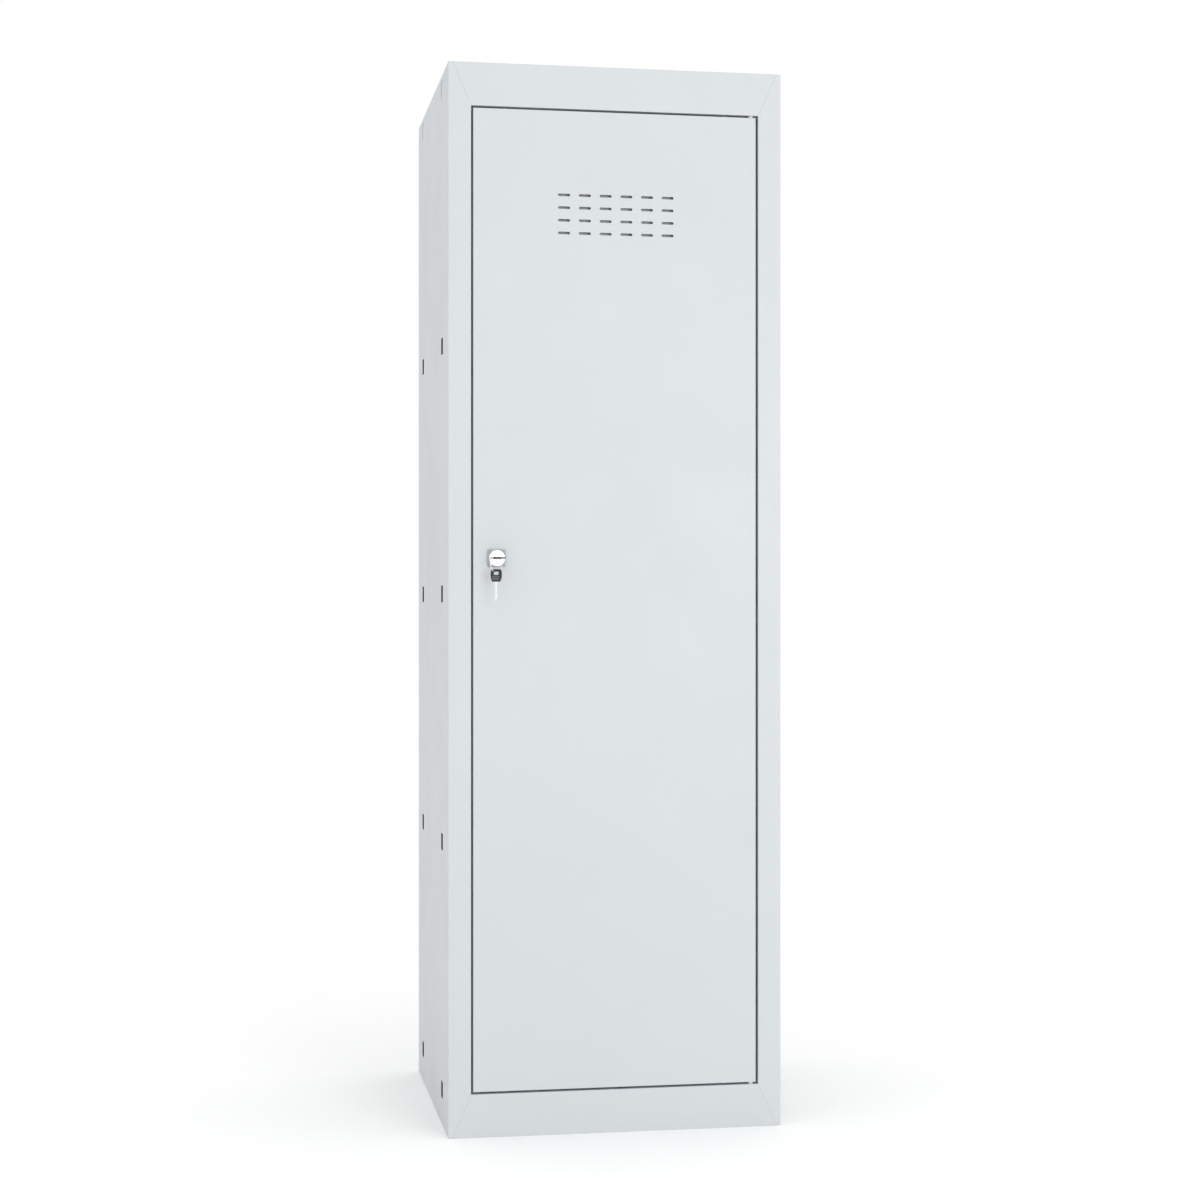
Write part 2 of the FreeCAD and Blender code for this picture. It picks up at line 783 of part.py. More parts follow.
def vent_baffle():
    """Shallow channel across the door behind the vents, open at both ends to let air past."""
    body = new_body("vent_baffle")
    corners = hat_section(
        "sizes.vent_centre_height",
        "(sizes.baffle_crown / 2)",
        "sizes.baffle_flange",
        "sizes.baffle_rise",
    )
    section = new_sketch(body, "YZ", f"{DOOR_MIDDLE} - sizes.baffle_length / 2")
    outline(section, [(depth, up) for up, depth in corners])
    pad(body, section, "sizes.baffle_length")


def glide(name, x, door_edge, outward):
    """Mushroom button whose stem sits in the door's return."""
    place = (x, PIN_Y, door_edge)
    outside = Vector(0, 0, outward)
    head = cylinder(f"{name}_head", "sizes.glide_radius", "sizes.glide_rise", *place, outside)
    stem = cylinder(f"{name}_stem", "sizes.glide_stem_radius", "sizes.glide_stem", *place, -outside)
    return fused(name, [head, stem])


def door_glides():
    buttons = []
    for row, (door_edge, outward) in enumerate(((DOOR_TOP, 1), (DOOR_BOTTOM, -1))):
        for column, across in enumerate((GLIDE_LEFT, GLIDE_RIGHT)):
            buttons.append(glide(f"glide_{row}_{column}", across, door_edge, outward))
    group("door_glides", buttons)


# Lock. The sketches lie across the lock's axis, which points to the front.

def lock_escutcheon():
    """Square boss under the lock's head."""
    body = new_body("lock_escutcheon")
    plate = new_sketch(body, "XZ", f"-{FRONT}")
    square(plate, LOCK_X, LOCK_Z, "sizes.escutcheon_side")
    block = pad(body, plate, "sizes.escutcheon_rise")
    corners = edges_where(block.Shape, lambda start, end: abs(start.y - end.y) > 1)
    fillet(body, block, corners, "sizes.escutcheon_corner")
    bore = new_sketch(body, "XZ", f"-{FRONT} - 1")
    circle(bore, LOCK_X, LOCK_Z, "sizes.barrel_radius + sizes.barrel_clearance")
    pocket(body, bore, "sizes.escutcheon_rise + 2")


def lock_backing_plate():
    """Plate inside the door that spreads the lock's clamping load."""
    body = new_body("lock_backing_plate")
    back = f"({FRONT} + {GAUGE} + sizes.backing_thickness)"
    plate = new_sketch(body, "XZ", f"-{back}")
    rectangle(
        plate,
        f"{LOCK_X} - sizes.backing_width / 2",
        f"{LOCK_X} + sizes.backing_width / 2",
        f"{LOCK_Z} - sizes.backing_height / 2",
        f"{LOCK_Z} + sizes.backing_height / 2",
    )
    circle(plate, LOCK_X, LOCK_Z, "sizes.barrel_radius + sizes.barrel_clearance")
    pad(body, plate, "sizes.backing_thickness")


def lock_housing():
    """Round bevelled head and barrel, bored for the plug. Its axis is the body's Z."""
    body = new_body("lock_housing")
    body.Placement = FreeCAD.Placement(Vector(), Rotation(Vector(0, 0, 1), Vector(0, 1, 0)))
    bind(body, Placement_Base_x=LOCK_X, Placement_Base_y=LOCK_FACE_BACK, Placement_Base_z=LOCK_Z)
    section = new_sketch(body, "XZ")
    bore = "(sizes.plug_radius + sizes.running_clearance)"
    outline(section, [
        (bore, "-sizes.lock_face_rise"),
        ("sizes.lock_face_radius - sizes.lock_face_bevel", "-sizes.lock_face_rise"),
        ("sizes.lock_face_radius", "sizes.lock_face_bevel - sizes.lock_face_rise"),
        ("sizes.lock_face_radius", "0"),
        ("sizes.barrel_radius", "0"),
        ("sizes.barrel_radius", "sizes.barrel_length"),
        (bore, "sizes.barrel_length"),
    ])
    revolve(body, section)


def lock_nut():
    """Hexagon nut that clamps the lock against the backing plate."""
    body = new_body("lock_nut")
    front = f"({FRONT} + {GAUGE} + sizes.backing_thickness)"
    face = new_sketch(body, "XZ", f"-({front} + sizes.nut_thickness)")
    corners = []
    for index in range(6):
        angle = 60 * index
        across = f"{LOCK_X} + sizes.nut_flats / 2 / cos(30) * cos({angle})"
        up = f"{LOCK_Z} + sizes.nut_flats / 2 / cos(30) * sin({angle})"
        corners.append((across, up))
    outline(face, corners)
    circle(face, LOCK_X, LOCK_Z, "sizes.barrel_radius + sizes.running_clearance")
    pad(body, face, "sizes.nut_thickness")


def keyway(sketch):
    """The key's channel through the plug, horizontal at rest."""
    half_width = "(sizes.blade_width / 2 + sizes.blade_clearance)"
    half_height = "(sizes.blade_thickness / 2 + sizes.blade_clearance)"
    rectangle(
        sketch,
        f"{LOCK_X} - {half_width}",
        f"{LOCK_X} + {half_width}",
        f"{LOCK_Z} - {half_height}",
        f"{LOCK_Z} + {half_height}",
    )


def lock_plug():
    """Core that the key turns, with a square tail that drives the cam."""
    body = new_body("lock_plug")
    round_end = f"({LOCK_FACE_BACK} + sizes.barrel_length + sizes.plug_overrun)"
    core = new_sketch(body, "XZ", f"-{round_end}")
    circle(core, LOCK_X, LOCK_Z, "sizes.plug_radius")
    pad(body, core, f"{round_end} - {PLUG_FRONT}")
    tail = new_sketch(body, "XZ", f"-{CAM_BACK}")
    square(tail, LOCK_X, LOCK_Z, "sizes.cam_square")
    pad(body, tail, f"{CAM_BACK} - {round_end}")
    channel = new_sketch(body, "XZ", f"-({PLUG_FRONT} + sizes.blade_insertion + sizes.blade_tip_gap)")
    keyway(channel)
    pocket(body, channel, "sizes.blade_insertion + 1")
    thread = new_sketch(body, "XZ", f"-({CAM_BACK} + 1)")
    circle(thread, LOCK_X, LOCK_Z, "sizes.cam_screw_radius")
    pocket(body, thread, "sizes.cam_screw_length + 1")


def lock_cam():
    """Flat finger that points up when unlocked."""
    body = new_body("lock_cam")
    face = new_sketch(body, "XZ", f"-{CAM_BACK}")
    half = "sizes.cam_width / 2"
    tip = f"({LOCK_Z} + sizes.cam_reach)"
    outline(face, [
        (f"{LOCK_X} - {half}", f"{LOCK_Z} - {half}"),
        (f"{LOCK_X} + {half}", f"{LOCK_Z} - {half}"),
        (f"{LOCK_X} + {half}", f"{tip} - {half} / 2"),
        (f"{LOCK_X} + {half} / 2", tip),
        (f"{LOCK_X} - {half} / 2", tip),
        (f"{LOCK_X} - {half}", f"{tip} - {half} / 2"),
    ])
    square(face, LOCK_X, LOCK_Z, "(sizes.cam_square + 2 * sizes.running_clearance)")
    pad(body, face, "sizes.cam_thickness")


def cam_screw():
    """Screw that holds the cam on the plug's tail."""
    place = (LOCK_X, CAM_BACK, LOCK_Z)
    radius = "sizes.cam_screw_head_radius"
    head = cylinder("cam_screw_head", radius, "sizes.cam_screw_head", *place, Vector(0, 1, 0))
    radius = "sizes.cam_screw_radius - sizes.running_clearance"
    shank = cylinder("cam_screw_shank", radius, "sizes.cam_screw_length", *place, Vector(0, -1, 0))
    named(fused("cam_screw", [head, shank]), "cam_screw")


# Keys. A key is drawn lying in its own XY plane, with the bow towards -Y and the blade towards
# +Y, and its origin at the foot of the bow.

def key_blade(label):
    """Steel blade with a shoulder and a pointed tip; its head is buried in the bow."""
    body = new_body(label)
    head = "sizes.shoulder_width / 2"
    half = "sizes.blade_width / 2"
    tip = "(sizes.shank_length + sizes.blade_insertion)"
    tail = "(-sizes.bow_length + sizes.eye_margin + sizes.eye_length + sizes.eye_to_blade)"
    face = new_sketch(body, "XY", "-sizes.blade_thickness / 2")
    outline(face, [
        (f"-{head}", tail),
        (head, tail),
        (head, "sizes.shoulder_length"),
        (half, "sizes.shoulder_length"),
        (half, f"{tip} - {half}"),
        ("sizes.blade_tip / 2", tip),
        ("-sizes.blade_tip / 2", tip),
        (f"-{half}", f"{tip} - {half}"),
        (f"-{half}", "sizes.shoulder_length"),
        (f"-{head}", "sizes.shoulder_length"),
    ])
    pad(body, face, "sizes.blade_thickness")
    return body


def key_bow(label):
    """Moulded head, broad at the far end, with an eye for the ring and a pocket for the blade."""
    body = new_body(label)
    face = new_sketch(body, "XY", "-sizes.bow_thickness / 2")
    outline(face, [
        ("-sizes.bow_foot / 2", "0"),
        ("-sizes.bow_width / 2", "-sizes.bow_length / 2"),
        ("-sizes.bow_width / 2", "-sizes.bow_length"),
        ("sizes.bow_width / 2", "-sizes.bow_length"),
        ("sizes.bow_width / 2", "-sizes.bow_length / 2"),
        ("sizes.bow_foot / 2", "0"),
    ])
    block = pad(body, face, "sizes.bow_thickness")
    shoulder = -value("sizes.bow_length") / 4
    corners = edges_where(block.Shape, lambda start, end: abs(start.z - end.z) > 1 and start.y < shoulder)
    fillet(body, block, corners, "sizes.bow_corner")
    eye = new_sketch(body, "XY", "-sizes.bow_thickness")
    eye_far = "(sizes.eye_margin - sizes.bow_length)"
    eye_near = f"({eye_far} + sizes.eye_length)"
    rectangle(eye, "-sizes.eye_width / 2", "sizes.eye_width / 2", eye_far, eye_near)
    pocket(body, eye, "2 * sizes.bow_thickness")
    slot = new_sketch(body, "XY", "-sizes.blade_thickness / 2")
    half = "sizes.shoulder_width / 2"
    rectangle(slot, f"-{half}", half, f"{eye_near} + sizes.eye_to_blade", "1")
    pocket(body, slot, "sizes.blade_thickness")
    return body


def key(prefix, placement):
    """One key: a blade and its bow, both at the same placement."""
    for piece in (key_blade(f"{prefix}_blade"), key_bow(f"{prefix}_bow")):
        piece.Placement = placement


def eye_bar_middle():
    """Distance from the bow's foot to the middle of the bar beyond the eye."""
    return value("sizes.bow_length - sizes.eye_margin / 2")


def ring_centre():
    """Centre of the ring over the bar of the key in the lock, placed to clear it all the way round."""
    inner = value("sizes.ring_radius - sizes.ring_wire_radius")
    x = value(f"{LOCK_X} - sizes.ring_sideways")
    y = value(f"{BOW_FOOT_Y} - sizes.ring_forward") - eye_bar_middle()
    z = value(f"{LOCK_Z} + sizes.bow_thickness / 2 + sizes.ring_rest") - inner
    return Vector(x, y, z)


def key_ring():
    """Wire ring in an upright plane, turned about Z away from the side view."""
    ring = doc.addObject("Part::Torus", "key_ring")
    bind(ring, Radius1="sizes.ring_radius", Radius2="sizes.ring_wire_radius")
    upright = Rotation(Vector(0, 1, 0), 90)
    yaw = Rotation(Vector(0, 0, 1), -value("sizes.ring_yaw"))
    ring.Placement = FreeCAD.Placement(ring_centre(), yaw.multiply(upright))
    named(ring, "key_ring")


def spare_key_placement():
    """Hangs the spare by its eye from the lowest point of the ring, square to it and blade down."""
    wire_low = ring_centre() - Vector(0, 0, value("sizes.ring_radius"))
    bar_low = wire_low + Vector(0, 0, value("sizes.ring_wire_radius + sizes.spare_rest"))
    foot = bar_low - Vector(0, 0, value("sizes.bow_length - sizes.eye_margin"))
    blade_down = Rotation(Vector(1, 0, 0), -90)
    yaw = Rotation(Vector(0, 0, 1), -value("sizes.ring_yaw"))
    return FreeCAD.Placement(foot, yaw.multiply(blade_down))


# Interior

def hat_shelf():
    """Shelf sheet with a folded lip along the front and the back."""
    body = new_body("hat_shelf")
    low = "(sizes.shelf_height - sizes.shelf_lip)"
    under = f"(sizes.shelf_height - {GAUGE})"
    back = f"({BACK} - 4 * {GAUGE})"
    section = new_sketch(body, "YZ", f"{LEFT} + sizes.shelf_side_gap")
    outline(section, [
        (SHELF_FRONT, low),
        (f"{SHELF_FRONT} + {GAUGE}", low),
        (f"{SHELF_FRONT} + {GAUGE}", under),
        (f"{back} - {GAUGE}", under),
        (f"{back} - {GAUGE}", low),
        (back, low),
        (back, "sizes.shelf_height"),
        (SHELF_FRONT, "sizes.shelf_height"),
    ])
    pad(body, section, "sizes.width - 2 * sizes.shelf_side_gap")


def shelf_bearer(label, panel_face, inward):
    """Angle riveted to a side panel, which the shelf rests on."""
    body = new_body(label)
    high = f"(sizes.shelf_height - {GAUGE})"
    thickness = "sizes.bearer_thickness"
    section = new_sketch(body, "XZ", f"-({BEARER_FRONT} + sizes.bearer_length)")
    outline(section, [
        (panel_face, high),
        (f"{panel_face} + {inward} * sizes.bearer_leg", high),
        (f"{panel_face} + {inward} * sizes.bearer_leg", f"{high} - {thickness}"),
        (f"{panel_face} + {inward} * {thickness}", f"{high} - {thickness}"),
        (f"{panel_face} + {inward} * {thickness}", f"{high} - sizes.bearer_leg"),
        (panel_face, f"{high} - sizes.bearer_leg"),
    ])
    pad(body, section, "sizes.bearer_length")


def shelf_rivets():
    """Rivet heads that hold the bearers; the heads stand on the bearers' upright legs."""
    heads = []
    for inward, panel_face in ((1, f"({LEFT} + {GAUGE})"), (-1, f"({RIGHT} - {GAUGE})")):
        for index in range(int(value("sizes.rivet_count"))):
            from_middle = f"({index} - (sizes.rivet_count - 1) / 2) * sizes.rivet_step"
            head = cylinder(
                f"rivet_{len(heads)}",
                "sizes.rivet_head_radius",
                "sizes.rivet_head",
                f"({panel_face} + {inward} * sizes.bearer_thickness)",
                f"({BEARER_FRONT} + sizes.bearer_length / 2 + {from_middle})",
                f"(sizes.shelf_height - {GAUGE} - sizes.bearer_leg / 2)",
                Vector(inward, 0, 0),
            )
            heads.append(head)
    group("shelf_rivets", heads)


def coat_rail():
    """Tube across the locker under the shelf, its ends inside the two sockets."""
    body = new_body("coat_rail")
    end_inset = f"({GAUGE} + sizes.socket_floor + sizes.coat_rail_end_gap)"
    section = new_sketch(body, "YZ", f"{LEFT} + {end_inset}")
    circle(section, "0", "sizes.coat_rail_height", "sizes.coat_rail_radius")
    circle(section, "0", "sizes.coat_rail_height", "sizes.coat_rail_radius - sizes.coat_rail_wall")
    pad(body, section, f"sizes.width - 2 * {end_inset}")


def rail_socket(name, panel_face, inward):
    """Cup on a two-screw plate that takes one end of the coat rail."""
    direction = Vector(inward, 0, 0)
    half_length = "sizes.socket_plate_length / 2"
    half_width = "sizes.socket_plate_width / 2"
    inner_face = f"({panel_face} + {inward} * sizes.socket_floor)"
    low, high = (panel_face, inner_face) if inward > 0 else (inner_face, panel_face)
    plate = box_solid(
        f"{name}_plate",
        low,
        high,
        f"(-{half_length})",
        f"({half_length})",
        f"(sizes.coat_rail_height - {half_width})",
        f"(sizes.coat_rail_height + {half_width})",
    )
    height = "sizes.coat_rail_height"
    depth = "sizes.socket_depth"
    cup = cylinder(f"{name}_cup", "sizes.socket_radius", depth, panel_face, "0", height, direction)
    radius = "sizes.coat_rail_radius + sizes.socket_clearance"
    bore = cylinder(f"{name}_bore", radius, depth, inner_face, "0", height, direction)
    return cut(name, fused(f"{name}_blank", [plate, cup]), bore)


def rail_sockets():
    left = rail_socket("left_socket", f"({LEFT} + {GAUGE})", 1)
    right = rail_socket("right_socket", f"({RIGHT} - {GAUGE})", -1)
    group("rail_sockets", [left, right])


def socket_screws():
    """Pan heads of the four screws through the socket plates."""
    heads = []
    for inward, panel_face in ((1, f"({LEFT} + {GAUGE})"), (-1, f"({RIGHT} - {GAUGE})")):
        for side in (-1, 1):
            head = cylinder(
                f"socket_screw_{len(heads)}",
                "sizes.socket_screw_head_radius",
                "sizes.socket_screw_head",
                f"({panel_face} + {inward} * sizes.socket_floor)",
                f"({side} * sizes.socket_screw_step / 2)",
                "sizes.coat_rail_height",
                Vector(inward, 0, 0),
            )
            heads.append(head)
    group("socket_screws", heads)


# Assembly

side_panel("left_side_panel", LEFT, 1)
side_panel("right_side_panel", RIGHT, -1)
back_panel()
top_panel()
floor_panel()
stile("left_stile", LEFT, OPENING_LEFT, 1)
stile("right_stile", RIGHT, OPENING_RIGHT, -1)
rail("top_rail", TOP, OPENING_TOP, -1)
rail("bottom_rail", "0", OPENING_BOTTOM, 1)
strike_plate()
door_buffers()
for position, opening, door_edge, outward in (
    ("top", OPENING_TOP, DOOR_TOP, 1),
    ("bottom", OPENING_BOTTOM, DOOR_BOTTOM, -1),
):
    hinge_plate(f"{position}_hinge_plate", opening, outward)
    hinge_bush(f"{position}_hinge_bush", opening, outward)
    hinge_pin(f"{position}_hinge_pin", door_edge, outward)
    pivot_bracket(f"{position}_pivot_bracket", door_edge, outward)
hinge_washer("top_hinge_washer", DOOR_TOP)
hinge_washer("bottom_hinge_washer", OPENING_BOTTOM)
door_skin()
door_stiffener()
vent_baffle()
door_glides()
lock_escutcheon()
lock_backing_plate()
lock_housing()
lock_nut()
lock_plug()
lock_cam()
cam_screw()
key("key", FreeCAD.Placement(Vector(value(LOCK_X), value(BOW_FOOT_Y), value(LOCK_Z)), Rotation()))
key_ring()
key("spare_key", spare_key_placement())
hat_shelf()
shelf_bearer("left_shelf_bearer", f"({LEFT} + {GAUGE})", 1)
shelf_bearer("right_shelf_bearer", f"({RIGHT} - {GAUGE})", -1)
shelf_rivets()
coat_rail()
rail_sockets()
socket_screws()
doc.recompute()

for item in doc.Objects:
    if "Invalid" in item.State or "Error" in item.State:
        raise RuntimeError(f"{item.Name} did not recompute")

os.makedirs("parts", exist_ok=True)
for item in subparts:
    if item.Shape.isNull() or not item.Shape.isValid():
        raise RuntimeError(f"{item.Label} has no valid shape")
    item.Shape.exportStep(f"parts/{item.Label}.step")
    print(item.Label, len(item.Shape.Solids), round(item.Shape.Volume, 1))
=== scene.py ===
import bmesh
import bpy
import json
import math
from mathutils import Matrix, Vector

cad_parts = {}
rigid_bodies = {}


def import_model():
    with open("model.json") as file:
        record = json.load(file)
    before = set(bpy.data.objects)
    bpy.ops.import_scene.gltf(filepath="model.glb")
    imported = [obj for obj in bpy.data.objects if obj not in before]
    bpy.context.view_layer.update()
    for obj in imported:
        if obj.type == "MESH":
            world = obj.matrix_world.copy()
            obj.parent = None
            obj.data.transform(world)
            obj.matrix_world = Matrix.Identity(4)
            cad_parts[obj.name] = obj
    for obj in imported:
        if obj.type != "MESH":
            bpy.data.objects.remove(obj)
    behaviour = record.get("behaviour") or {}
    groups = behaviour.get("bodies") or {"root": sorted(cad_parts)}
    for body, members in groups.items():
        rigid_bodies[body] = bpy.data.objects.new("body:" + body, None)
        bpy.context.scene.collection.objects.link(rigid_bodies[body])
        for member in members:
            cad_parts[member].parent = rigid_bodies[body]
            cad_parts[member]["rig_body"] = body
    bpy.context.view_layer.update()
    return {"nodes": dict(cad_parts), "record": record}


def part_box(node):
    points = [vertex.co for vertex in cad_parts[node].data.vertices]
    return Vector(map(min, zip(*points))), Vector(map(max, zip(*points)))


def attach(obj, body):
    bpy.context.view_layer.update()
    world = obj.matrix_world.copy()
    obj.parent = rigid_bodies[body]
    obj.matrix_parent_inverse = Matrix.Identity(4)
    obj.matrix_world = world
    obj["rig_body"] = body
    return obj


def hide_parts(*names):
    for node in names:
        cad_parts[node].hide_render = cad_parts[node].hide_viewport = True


# The looks of a single-door steel locker. The folded sheets are the frame's own nodes with softened
# edges; the lock, keys, pivots and small fittings are finer pieces that stand for theirs.

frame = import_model()
NODES = frame["nodes"]
SLOTS = {entry["node"]: entry["material_slot"] for entry in frame["record"]["subparts"]}
MM = 0.001
SAME_POINT = 1e-6
FULL_TURN = 2 * math.pi
QUARTER_TURN = math.pi / 2
UP = Vector((0, 0, 1))
TO_BACK = Vector((0, 1, 0))
TO_FRONT = Vector((0, -1, 0))


# Materials. Each is one Principled shader fed by small procedural textures in object coordinates.

def new_material(name, roughness, metallic=0.0):
    material = bpy.data.materials.new(name)
    material.use_nodes = True
    shader = material.node_tree.nodes["Principled BSDF"]
    shader.inputs["Roughness"].default_value = roughness
    shader.inputs["Metallic"].default_value = metallic
    return material, shader


def add_node(material, kind, **inputs):
    """A new node with some of its inputs set; input names are written with underscores."""
    node = material.node_tree.nodes.new(kind)
    for name, value in inputs.items():
        node.inputs[name.replace("_", " ")].default_value = value
    return node


def link(material, output, target):
    material.node_tree.links.new(output, target)


def noise(material, scale, detail=2.0, stretch=(1, 1, 1)):
    """A noise texture's value; scale is in waves per metre, and stretch lengthens them along an axis."""
    place = add_node(material, "ShaderNodeTexCoord")
    mapping = add_node(material, "ShaderNodeMapping")
    mapping.inputs["Scale"].default_value = [1 / share for share in stretch]
    texture = add_node(material, "ShaderNodeTexNoise", Scale=scale, Detail=detail)
    link(material, place.outputs["Object"], mapping.inputs["Vector"])
    link(material, mapping.outputs["Vector"], texture.inputs["Vector"])
    return texture.outputs["Fac"]


def colour_between(material, shader, value, darker, lighter, start=0.3, end=0.7):
    """Colours the surface between two shades as value goes from start to end."""
    ramp = add_node(material, "ShaderNodeValToRGB")
    ramp.color_ramp.elements[0].position = start
    ramp.color_ramp.elements[0].color = (*darker, 1)
    ramp.color_ramp.elements[1].position = end
    ramp.color_ramp.elements[1].color = (*lighter, 1)
    link(material, value, ramp.inputs["Fac"])
    link(material, ramp.outputs["Color"], shader.inputs["Base Color"])


def roughness_between(material, shader, value, smooth, rough):
    spread = add_node(material, "ShaderNodeMapRange", From_Min=0.3, From_Max=0.7, To_Min=smooth, To_Max=rough)
    link(material, value, spread.inputs["Value"])
    link(material, spread.outputs["Result"], shader.inputs["Roughness"])


def bump(material, shader, value, depth, strength=1.0, after=None):
    """Relief of the given depth in metres, laid over an earlier bump if one is given."""
    relief = add_node(material, "ShaderNodeBump", Strength=strength, Distance=depth)
    link(material, value, relief.inputs["Height"])
    if after is not None:
        link(material, after.outputs["Normal"], relief.inputs["Normal"])
    link(material, relief.outputs["Normal"], shader.inputs["Normal"])
    return relief


def shade(colour, factor):
    return tuple(channel * factor for channel in colour)


def powder_coat(name, colour):
    """Baked powder paint: orange peel, a little mottling, and a sheen that varies with handling."""
    material, shader = new_material(name, 0.5)
    shader.inputs["Specular IOR Level"].default_value = 0.42
    colour_between(material, shader, noise(material, 2.5, 3.0), shade(colour, 0.985), shade(colour, 1.01))
    roughness_between(material, shader, noise(material, 9.0, 4.0), 0.44, 0.54)
    peel = bump(material, shader, noise(material, 420.0, 2.0), 0.00006, 0.35)
    bump(material, shader, noise(material, 1900.0, 1.0), 0.00001, 0.25, after=peel)
    return material


def moulded_plastic(name, colour, roughness, grain=2500.0):
    """Injection-moulded plastic with a fine spark-eroded grain."""
    material, shader = new_material(name, roughness)
    colour_between(material, shader, noise(material, 60.0, 3.0), shade(colour, 0.9), shade(colour, 1.1))
    roughness_between(material, shader, noise(material, 300.0), roughness - 0.06, roughness + 0.08)
    bump(material, shader, noise(material, grain, 3.0), 0.00003, 0.5)
    return material


def zinc_plate(name):
    """Bright zinc on steel: cloudy, slightly warm patches and fine tool marks."""
    material, shader = new_material(name, 0.35, metallic=1.0)
    colour_between(material, shader, noise(material, 90.0, 4.0), (0.50, 0.50, 0.49), (0.70, 0.69, 0.66))
    roughness_between(material, shader, noise(material, 350.0, 3.0), 0.26, 0.42)
    bump(material, shader, noise(material, 1200.0, 2.0, (1, 1, 8)), 0.00002, 0.4)
    return material


def polished_metal(name, colour, roughness, stretch):
    """Plated metal whose last polish left fine lines along one axis."""
    material, shader = new_material(name, roughness, metallic=1.0)
    colour_between(material, shader, noise(material, 40.0, 2.0), shade(colour, 0.94), colour)
    lines = noise(material, 1500.0, 2.0, stretch)
    roughness_between(material, shader, lines, roughness - 0.05, roughness + 0.07)
    bump(material, shader, lines, 0.00001, 0.3)
    return material


def turned_chrome(name, axis):
    """Satin chrome with the rings that turning leaves round the given axis point."""
    material, shader = new_material(name, 0.22, metallic=1.0)
    place = add_node(material, "ShaderNodeTexCoord")
    mapping = add_node(material, "ShaderNodeMapping")
    mapping.inputs["Location"].default_value = (-axis.x, 0, -axis.z)
    link(material, place.outputs["Object"], mapping.inputs["Vector"])
    rings = add_node(material, "ShaderNodeTexWave", Scale=700.0, Distortion=0.6, Detail=1.0)
    rings.wave_type = "RINGS"
    rings.rings_direction = "Y"
    link(material, mapping.outputs["Vector"], rings.inputs["Vector"])
    colour_between(material, shader, noise(material, 55.0, 3.0), (0.80, 0.81, 0.82), (0.90, 0.91, 0.92))
    roughness_between(material, shader, rings.outputs["Fac"], 0.18, 0.28)
    bump(material, shader, rings.outputs["Fac"], 0.000012, 0.35)
    return material


def rubber(name):
    """Matt black rubber with a cloudy bloom and a fine pebbled face."""
    material, shader = new_material(name, 0.75)
    cloud = noise(material, 120.0, 4.0)
    colour_between(material, shader, cloud, (0.018, 0.018, 0.018), (0.045, 0.044, 0.042))
    bump(material, shader, noise(material, 1600.0, 4.0), 0.00005, 0.6)
    return material


PAINT = (0.536, 0.563, 0.580)
MATERIALS = {
    "painted_sheet": powder_coat("powder coat", PAINT),
    "painted_door": powder_coat("powder coat door", PAINT),
    "grey_plastic": moulded_plastic("grey plastic", (0.32, 0.34, 0.35), 0.5),
    "white_nylon": moulded_plastic("natural nylon", (0.72, 0.72, 0.69), 0.42, 900.0),
    "black_plastic": moulded_plastic("black plastic", (0.019, 0.019, 0.020), 0.46),
    "key_grip": moulded_plastic("worn grip", (0.115, 0.118, 0.120), 0.6),
    "black_rubber": rubber("rubber"),
    "bright_steel": zinc_plate("zinc-plated steel"),
    "chrome": turned_chrome("turned chrome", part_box("lock_plug")[0].lerp(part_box("lock_plug")[1], 0.5)),
    "nickel": polished_metal("nickel plate", (0.93, 0.93, 0.91), 0.2, (1, 12, 12)),
    "chrome_tube": polished_metal("chromed tube", (0.84, 0.85, 0.86), 0.16, (30, 1, 1)),
}


# Mesh helpers. Outlines are lists of (x, y) points, in millimetres until a piece is placed.

def rounded(corners, steps=5):
    """Closed outline from (x, y, radius) corners, each rounded by an arc."""
    points = []
    for index, (x, y, radius) in enumerate(corners):
        corner = Vector((x, y))
        if radius == 0:
            points.append(corner)
            continue
        before = (Vector(corners[index - 1][:2]) - corner).normalized()
        after = (Vector(corners[(index + 1) % len(corners)][:2]) - corner).normalized()
        half = before.angle(after) / 2
        centre = corner + (before + after).normalized() * radius / math.sin(half)
        start = corner + before * radius / math.tan(half) - centre
        end = corner + after * radius / math.tan(half) - centre
        turn = math.atan2(start.cross(end), start.dot(end))
        for step in range(steps + 1):
            angle = turn * step / steps
            spoke = Vector((
                start.x * math.cos(angle) - start.y * math.sin(angle),
                start.x * math.sin(angle) + start.y * math.cos(angle),
            ))
            points.append(centre + spoke)
    return points


def rounded_rectangle(width, height, radius, x=0.0, y=0.0):
    half_width = width / 2
    half_height = height / 2
    return rounded([
        (x - half_width, y - half_height, radius),
        (x + half_width, y - half_height, radius),
        (x + half_width, y + half_height, radius),
        (x - half_width, y + half_height, radius),
    ])


def polygon(sides, radius, x=0.0, y=0.0):
    """A regular outline; many sides make a circle."""
    angles = [FULL_TURN * side / sides for side in range(sides)]
    return [Vector((x + radius * math.cos(angle), y + radius * math.sin(angle))) for angle in angles]


def signed_area(loop):
    return sum(a.cross(b) for a, b in zip(loop, loop[1:] + loop[:1])) / 2


def inset(loop, distance):
    """The outline moved inwards, or for a hole outwards into the material around it."""
    least_share = 0.3
    moved = []
    for before, here, after in zip(loop[-1:] + loop[:-1], loop, loop[1:] + loop[:1]):
        into = (here - before).normalized()
        out = (after - here).normalized()
        normal = Vector((-into.y - out.y, into.x + out.x)).normalized()
        share = max(least_share, normal.dot(Vector((-into.y, into.x))))
        moved.append(here + normal * distance / share)
    return moved


def oriented(loop, anticlockwise):
    return loop if (signed_area(loop) > 0) == anticlockwise else loop[::-1]


